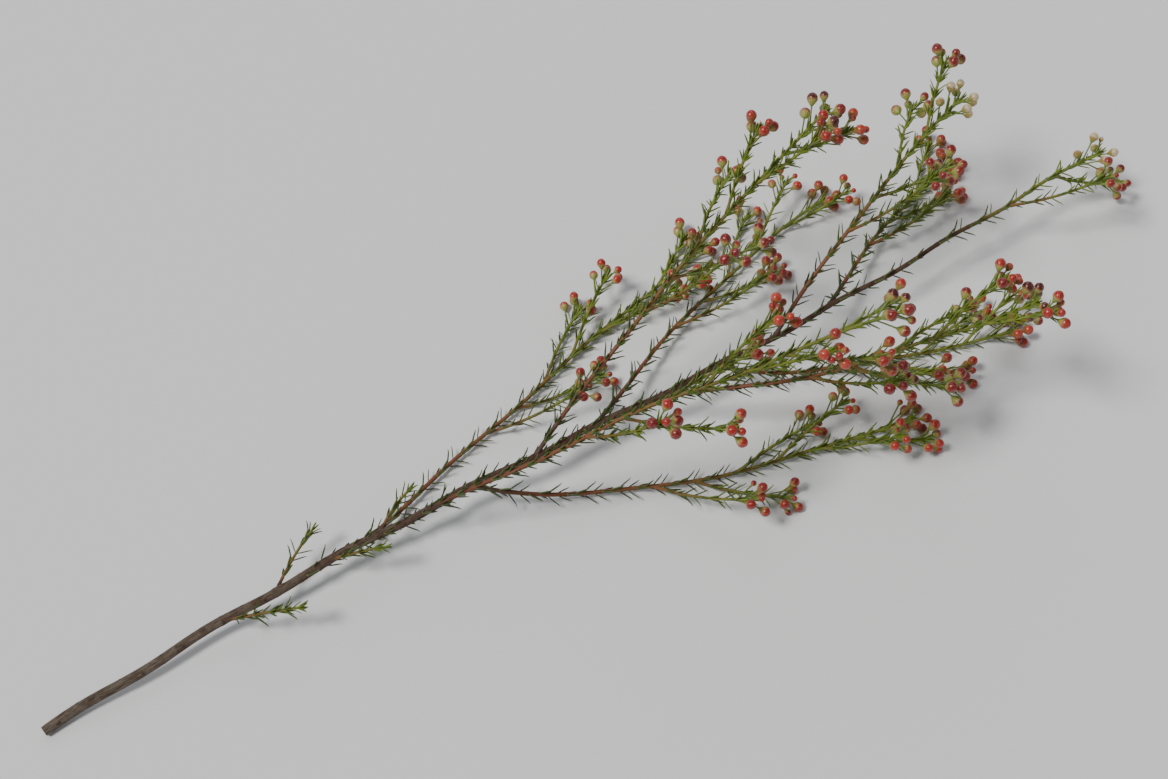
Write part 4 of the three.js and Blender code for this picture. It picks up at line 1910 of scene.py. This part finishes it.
@dataclass(frozen=True)
class CupFinish(Finish):
    """Stalks and cups: yellow-green, flushed with the petals' red towards a pale lobed rim."""

    stops: Stops = (
        (0.0, (0.11, 0.17, 0.02)), (0.5, (0.17, 0.24, 0.03)), (0.68, (0.3, 0.34, 0.06)),
        (0.86, (0.46, 0.34, 0.11)), (1.0, (0.5, 0.16, 0.08)),
    )
    flushed: Stops = (
        (0.0, (0.13, 0.16, 0.02)), (0.5, (0.2, 0.17, 0.025)), (0.68, (0.3, 0.13, 0.03)),
        (0.86, (0.34, 0.05, 0.022)), (1.0, (0.4, 0.06, 0.035)),
    )
    rib: Colour = (0.16, 0.2, 0.03)
    gland: Colour = (0.46, 0.42, 0.15)

    def dress(self) -> Skin:
        """Grade by height, flushed or not, with ribs round the cup and sunken glands.

        Returns:
            The skin.
        """
        x, y, z = self.split(self.own)
        seed = self.times(self.read("tone"), self.seeds)
        patches = self.use(Effect.MOTTLE, Seed=seed, Scale=1.6, Low=0.35, High=0.65)
        dots = self.use(Effect.GLANDS, Seed=seed, Scale=5.5, Size=0.3)
        level = self.plus(0.52, (z, 0.45))
        level = self.plus(level, (patches, 0.06))
        reach = self.plus(self.read("flush"), (patches, 0.35))
        plain, red = self.ramp(level, self.stops), self.ramp(level, self.flushed)
        ribs = self.math("COSINE", self.times(self.math("ARCTAN2", y, x), 2.0 * PETALS))
        on_cup = self.step(z, 0.05, 0.4)
        colour = self.lay(
            self.blend(self.step(reach, 0.5, 1.15), plain, red),
            (self.rib, self.times(self.step(ribs, 0.2, -1.0), on_cup), 0.35),
            (self.gland, dots, 0.3),
        )
        height = self.plus(self.times(self.times(ribs, on_cup), 0.7), (dots, 0.5))
        return colour, self.plus(0.36, (patches, 0.12)), height


@dataclass(frozen=True)
class PetalFinish(Finish):
    """Petals wrapped into a globe: waxy, mottled, paler at their edges and near the cup, with painted
    shade just under the edge of each overlapping petal.
    """

    base: Colour = (0.62, 0.42, 0.14)
    edge: Colour = (0.85, 0.45, 0.32)
    # multiplied in for the random mottle, and as painted shade under each overlapping petal edge
    mottle_and_under_edge_tint: Colour = (0.62, 0.5, 0.5)

    def dress(self) -> Skin:
        """Find the petal edges as steps of the leaning turn, and colour by petal and height, with
        painted shade where each petal passes under the next one's edge.

        Returns:
            The skin.
        """
        hue = self.read("hue", "Color")
        x, y, z = self.split(self.own)
        turn = self.times(self.math("ARCTAN2", y, x), PETALS / (2 * math.pi))
        turn = self.plus(turn, (z, PETAL_TWIST))
        phase = self.math("FRACT", self.math("ADD", turn, float(PETALS)))
        near_top = self.step(z, 1.0, 0.85)
        seed = self.times(self.read("tone"), self.seeds)
        patches = self.use(Effect.MOTTLE, Seed=seed, Scale=1.3, Low=0.35, High=0.7)
        specks = self.use(Effect.MOTTLE, Seed=seed, Scale=7.0, Low=0.5, High=0.75)
        mottle_and_under_edge_shade = self.blend(1.0, hue, self.mottle_and_under_edge_tint, "MULTIPLY")
        pale = self.blend(0.35, hue, self.edge)
        colour = self.lay(
            hue, (mottle_and_under_edge_shade, patches, 0.6), (pale, specks, 0.35),
            (pale, self.times(self.step(phase, 0.2, 0.03), near_top), 0.6),
            # painted shade: darker just before the phase wraps, in the hollow under the next petal's
            # raised edge
            (mottle_and_under_edge_shade, self.times(self.step(phase, 0.82, 0.99), near_top), 0.5),
            (self.blend(0.5, hue, self.base), self.step(z, 0.15, -0.35), 0.6),
        )
        height = self.plus(self.times(self.times(phase, -1.0), near_top), (specks, 0.1))
        return colour, self.plus(0.26, (patches, 0.1)), height


@dataclass(frozen=True)
class CutFinish(Finish):
    """The cut end: pale wood with rays and faint rings, brown pith and a dark rim of bark."""

    wood: Colour = (0.62, 0.5, 0.3)
    damp: Colour = (0.42, 0.3, 0.15)
    pith: Colour = (0.3, 0.18, 0.08)
    rim: Colour = (0.1, 0.05, 0.03)
    green: Colour = (0.3, 0.33, 0.1)
    rays: float = 23.0
    rings: float = 11.0

    def dress(self) -> Skin:
        """Colour by distance from the middle, with rays by turn and rings by distance.

        Returns:
            The skin.
        """
        x, y, _ = self.split(self.own)
        squares = (self.math("POWER", part, 2.0) for part in (x, y))
        out = self.math("SQRT", self.math("ADD", *squares))
        turn = self.times(self.math("ARCTAN2", y, x), self.rays)
        patches = self.use(Effect.MOTTLE, Seed=3.0, Scale=0.9, Low=0.4, High=0.65)
        rays = self.step(self.math("SINE", self.plus(turn, (patches, 1.3))), 0.3, 1.0)
        rings = self.step(self.math("SINE", self.times(out, self.rings)), 0.2, 1.0)
        colour = self.lay(
            self.wood, (self.damp, patches, 0.7), (self.damp, rays, 0.35), (self.damp, rings, 0.3),
            (self.pith, self.step(out, 0.5, 0.35), 1), (self.green, self.step(out, 2.1, 2.25), 1),
            (self.rim, self.step(out, 2.35, 2.5), 1),
        )
        height = self.plus(self.times(rings, 0.5), (rays, 0.5))
        return colour, self.plus(0.6, (patches, 0.15)), height


class Finishes:
    """The materials of the stem, made once."""

    def __init__(self) -> None:
        """Make all materials from their finishes."""
        build_effects()
        self.bark = BarkFinish("stringy_bark", gloss=0.3, bump=0.9, relief=0.0005).material()
        self.twig = TwigFinish("young_twig", gloss=0.35, relief=0.00015).material()
        self.leaf = LeafFinish("needle_leaf", gloss=0.35, relief=0.00012).material()
        self.cup = CupFinish("bud_cup", coat=0.15, relief=0.00018).material()
        self.petal = PetalFinish("wrapped_petals", coat=0.2, relief=0.0003).material()
        self.cut = CutFinish("cut_wood", gloss=0.3).material()


# ---- Sub-assemblies ----


@dataclass
class MainStem:
    """The woody main stem: bark with scars and collars, its leaves, and the cut end."""

    growth: Growth
    form: TwigForm = TwigForm(sides=28, step=2.0, least_step=0.35)
    strands: Pairs = ((2, 0.013), (3, -0.021), (5, 0.034), (7, -0.05))
    strand_height: float = 0.075
    strand_fade: float = 1.25
    node_height: float = 0.06
    node_length: float = 1.1
    node_tint: float = 0.35
    scar_spacing: float = 12.0
    first_scar: float = 0.75  # of the spacing
    scar_drift: Pair = (0.8, 0.2)  # along and about the stem
    scar_height: float = 0.26
    scar_size: Pair = (0.62, 0.75)  # about and along the stem
    collar_height: float = 0.42
    collar_size: Pair = (1.6, 3.2)
    collar_ahead: float = 1.5
    edge_length: float = 0.5
    edge_share: float = 0.965
    caps: Pair = (0.5, 0.4)
    chunks: int = 11
    cut_rings: Pairs = (
        (0.86, -0.45), (0.93, -0.08), (0.925, 0.03), (0.8, 0.05), (0.6, -0.02), (0.38, -0.06),
        (0.16, -0.1),
    )  # share of the radius, and height over the cut
    cut_caps: Pair = (-0.45, -0.12)

    def scars(self) -> tuple[Array, Array]:
        """Place the leaf scars of the bare part, in crossed pairs.

        Returns:
            The distance of each from the foot, and its turn about the stem.
        """
        node = np.repeat(np.arange(int(STEM.leafless // self.scar_spacing)), 2)
        side = np.arange(len(node)) % 2
        drift = np.array([Chance.SCAR_DRIFT.drift(int(n), int(s)) for n, s in zip(node, side)])
        along, about = self.scar_drift
        at = (node + self.first_scar) * self.scar_spacing + along * drift
        return at, crossed_rank(node + 0.5, side) + about * drift

    def collars(self) -> tuple[Array, Array]:
        """Place the collars, one at the foot of each side branch.

        Returns:
            The distance of each from the foot, and its turn about the stem.
        """
        found = []
        for curve in (branch.main.curve for branch in self.growth.branches if branch.main.on_stem):
            station = self.growth.stem.main.curve.station(curve.foot[0] / STEM.woody_length)
            rank = math.atan2(curve.heading @ station.upright, curve.heading @ station.level)
            found.append((curve.foot[0] + self.collar_ahead, rank))
        return tuple(np.array(found).T)

    def bark(self) -> TubeSet:
        """Make the bark.

        The radius is the taper, plus low strands (cosines of whole multiples of the turn that
        wind slowly along), plus a hump at every scar and a longer one under every side branch.

        Returns:
            A set of one tube.
        """
        stem, scars = self.growth.stem.main, self.scars()
        marked = replace(stem, nodes=[*stem.nodes, *np.unique(np.round(scars[0], 1))])
        distance, turn = self.form.distances(marked), full_turn(self.form.sides)
        t = distance / stem.length
        radius = stem.radius(t)[:, None]
        strands = sum(
            np.cos(k * turn + slope * distance[:, None] + k * k) / math.sqrt(k)
            for k, slope in self.strands
        )
        relief = self.strand_height * strands * (self.strand_fade - t[:, None])
        node = bell(np.subtract.outer(distance, stem.nodes), self.node_length).max(axis=1)
        relief = relief + self.node_height * radius * node[:, None]
        near_scar = self.humps(distance, radius, scars, self.scar_size)
        near_collar = self.humps(distance, radius, self.collars(), self.collar_size)
        relief = relief + self.scar_height * near_scar + self.collar_height * near_collar
        edge = smooth_step(distance / self.edge_length)[:, None]
        spread = (radius + relief * edge) * mix(self.edge_share, 1.0, edge)
        traits = {"youth": t, "node": self.node_tint * node, "scar": near_scar}
        station = stem.curve.station(t)
        return bent_tube(station, spread, distance, self.caps, traits, self.chunks)

    def humps(
        self, distance: Array, radius: Array, marks: tuple[Array, Array], size: Pair
    ) -> Array:
        """Raise humps on the bark: bells of arc about the stem times bells of distance along it.

        Args:
            distance: distances of the rings from the foot.
            radius: their radii.
            marks: distance and turn of each hump.
            size: width about and along the stem.

        Returns:
            The highest hump at each point.
        """
        apart = np.subtract.outer(-full_turn(self.form.sides), marks[1])
        arc = np.arctan2(np.sin(apart), np.cos(apart))[None] * radius[..., None]
        down = np.subtract.outer(distance, marks[0])[:, None]
        return (bell(arc, size[0]) * bell(down, size[1])).max(axis=-1)

    def cut_end(self) -> TubeSet:
        """Make the cut end: a low dished face of rings that closes inside the bark.

        Returns:
            A set of one tube.
        """
        station, sides = self.growth.stem.main.curve.station(0.0), self.form.sides
        place, heading = station.place[None], -station.along[None]
        out, height = np.array(self.cut_rings).T[:, None]
        spread = np.repeat((out * STEM.cut_radius)[..., None], sides, axis=2)
        rings = turned_form(place, heading, height, spread, full_turn(sides))
        tips = np.array([self.cut_caps])
        ends = place[:, None] + heading[:, None] * tips[..., None]
        return TubeSet(rings, ends, *own_turned(spread, full_turn(sides), height, tips), {})

    def build(self, finishes: Finishes) -> None:
        """Make the pieces that stand for the main stem.

        Args:
            finishes: the materials.
        """
        node, leaves = "main_stem", LeafForm().tubes(self.growth.stem.leaves, [])
        make_piece(f"{node}_bark", [self.bark()], finishes.bark, node)
        make_piece(f"{node}_cut_end", [self.cut_end()], finishes.cut, node)
        make_piece(f"{node}_leaves", [leaves], finishes.leaf, node)


@dataclass
class SideBranch:
    """One spray, shoot or leader: its twigs, leaves, and where it flowers its buds."""

    plan: Branch
    seeds: int = 10  # numbers kept for the twigs of one branch
    twig_form: TwigForm = TwigForm()
    leaf_form: LeafForm = LeafForm()
    bud_form: BudForm = BudForm()

    def build(self, finishes: Finishes) -> None:
        """Make the pieces that stand for this branch's node.

        Args:
            finishes: the materials.
        """
        plan, name, form = self.plan, self.plan.name, self.bud_form
        first = self.seeds * plan.owner
        twigs = [self.twig_form.tube(twig, first + i) for i, twig in enumerate(plan.twigs)]
        make_piece(f"{name}_twigs", twigs, finishes.twig, name)
        leaves = self.leaf_form.tubes(plan.leaves, plan.buds)
        make_piece(f"{name}_leaves", [leaves], finishes.leaf, name)
        if plan.buds:
            rows = BudRows(plan.buds)
            cups = [form.stalks(rows), form.cups(rows)]
            make_piece(f"{name}_cups", cups, finishes.cup, name)
            make_piece(f"{name}_petals", [form.globes(rows)], finishes.petal, name)


# ---- Surroundings ----


@dataclass(frozen=True)
class Floor:
    """A plain pale floor."""

    half_width: float = 12.0
    tint: Colour = (0.84, 0.85, 0.865)
    roughness: float = 0.85

    def build(self) -> None:
        """Lay one square under the stem."""
        w = self.half_width
        mesh = bpy.data.meshes.new("floor")
        mesh.from_pydata([(-w, -w, 0), (w, -w, 0), (w, w, 0), (-w, w, 0)], [], [(0, 1, 2, 3)])
        made = bpy.data.materials.new("pale_floor")
        made.use_nodes = True
        inputs = made.node_tree.nodes["Principled BSDF"].inputs
        inputs["Base Color"].default_value = (*self.tint, 1.0)
        inputs["Roughness"].default_value = self.roughness
        mesh.materials.append(made)
        add_object("floor", mesh)


@dataclass(frozen=True)
class SoftLight:
    """One wide studio light, the same all over the floor."""

    name: str
    towards_light: Row
    spread: float
    strength: float
    tint: Colour

    def build(self) -> None:
        """Make the light as a far disc of the given spread in degrees."""
        data = bpy.data.lights.new(self.name, "SUN")
        data.angle, data.energy, data.color = math.radians(self.spread), self.strength, self.tint
        light = add_object(self.name, data)
        light.rotation_euler = (-Vector(self.towards_light)).to_track_quat("-Z", "Y").to_euler()


@dataclass(frozen=True)
class Studio(Graph):
    """Pale surroundings, soft lights and the camera."""

    lights: tuple[SoftLight, ...] = (
        SoftLight("key_light", (-0.75, 0.1, 1.2), 15.0, 2.45, (1.0, 0.98, 0.94)),
        SoftLight("back_light", (0.5, 1.0, 0.9), 40.0, 0.45, (0.95, 0.97, 1.0)),
    )
    air: Colour = (0.82, 0.83, 0.85)
    air_strength: float = 0.3
    air_shown: float = 0.78
    azimuth: float = -31.0
    elevation: float = 58.0
    lens: float = 60.0
    sensor: float = 36.0
    clip: Pair = (0.01, 40.0)
    picture: tuple[int, int] = (1168, 779)
    filled: float = 0.93
    rounds: int = 12

    @cached_property
    def tree(self) -> bpy.types.NodeTree:
        """Start the air around the scene and give its node tree."""
        bpy.data.worlds.new("pale_air").use_nodes = True
        return bpy.data.worlds["pale_air"].node_tree

    def build(self) -> None:
        """Light the scene, show the air brighter than it lights, and place the camera."""
        seen = self.add("ShaderNodeLightPath").outputs["Is Camera Ray"]
        strength = self.plus(self.air_strength, (seen, self.air_shown - self.air_strength))
        sockets = {"Color": self.air, "Strength": strength}
        self.fill(self.tree.nodes["Background"], sockets)
        bpy.context.scene.world = bpy.data.worlds["pale_air"]
        for light in self.lights:
            light.build()
        self.place_camera()

    def place_camera(self) -> None:
        """Look down on the stem from a little beside it, from where it just fills the picture.

        Each round finds the distance at which the widest corner reaches the picture's edge, and
        then shifts the target so that the corners are in the middle.
        """
        turn, climb = math.radians(self.azimuth), math.radians(self.elevation)
        level = math.cos(climb)
        back = np.array([math.sin(turn) * level, -math.cos(turn) * level, math.sin(climb)])
        right = np.array([math.cos(turn), math.sin(turn), 0.0])
        up = np.cross(back, right)
        points = np.concatenate([corners_of(n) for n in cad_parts.values()]).astype(float)
        wide = self.filled * self.sensor / 2 / self.lens
        high = wide * self.picture[1] / self.picture[0]
        target = points.mean(axis=0)
        for _ in range(self.rounds):
            apart = points - target
            x, y, nearer = apart @ right, apart @ up, apart @ back
            distance = max((np.abs(x) / wide + nearer).max(), (np.abs(y) / high + nearer).max())
            x, y = x / (distance - nearer), y / (distance - nearer)
            shift = right * (x.max() + x.min()) / 2 + up * (y.max() + y.min()) / 2
            target = target + shift * distance
        data = bpy.data.cameras.new("camera")
        data.lens, data.sensor_width = self.lens, self.sensor
        data.clip_start, data.clip_end = self.clip
        camera = add_object("camera", data)
        camera.location = Vector(target + back * distance)
        camera.rotation_euler = Vector(-back).to_track_quat("-Z", "Y").to_euler()
        bpy.context.scene.camera = camera


def main() -> None:
    """Build the stem and its surroundings."""
    logging.basicConfig(level=logging.INFO, format="%(name)s: %(message)s")
    growth, finishes = Growth(), Finishes()
    MainStem(growth).build(finishes)
    for plan in growth.branches:
        SideBranch(plan).build(finishes)
        parts = [len(found) for found in (plan.twigs, plan.buds, plan.leaves)]
        log.info("%s: %d twigs, %d buds, %d leaves", plan.name, *parts)
    Floor().build()
    Studio().build()
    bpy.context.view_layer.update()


if __name__ == "__main__":
    main()
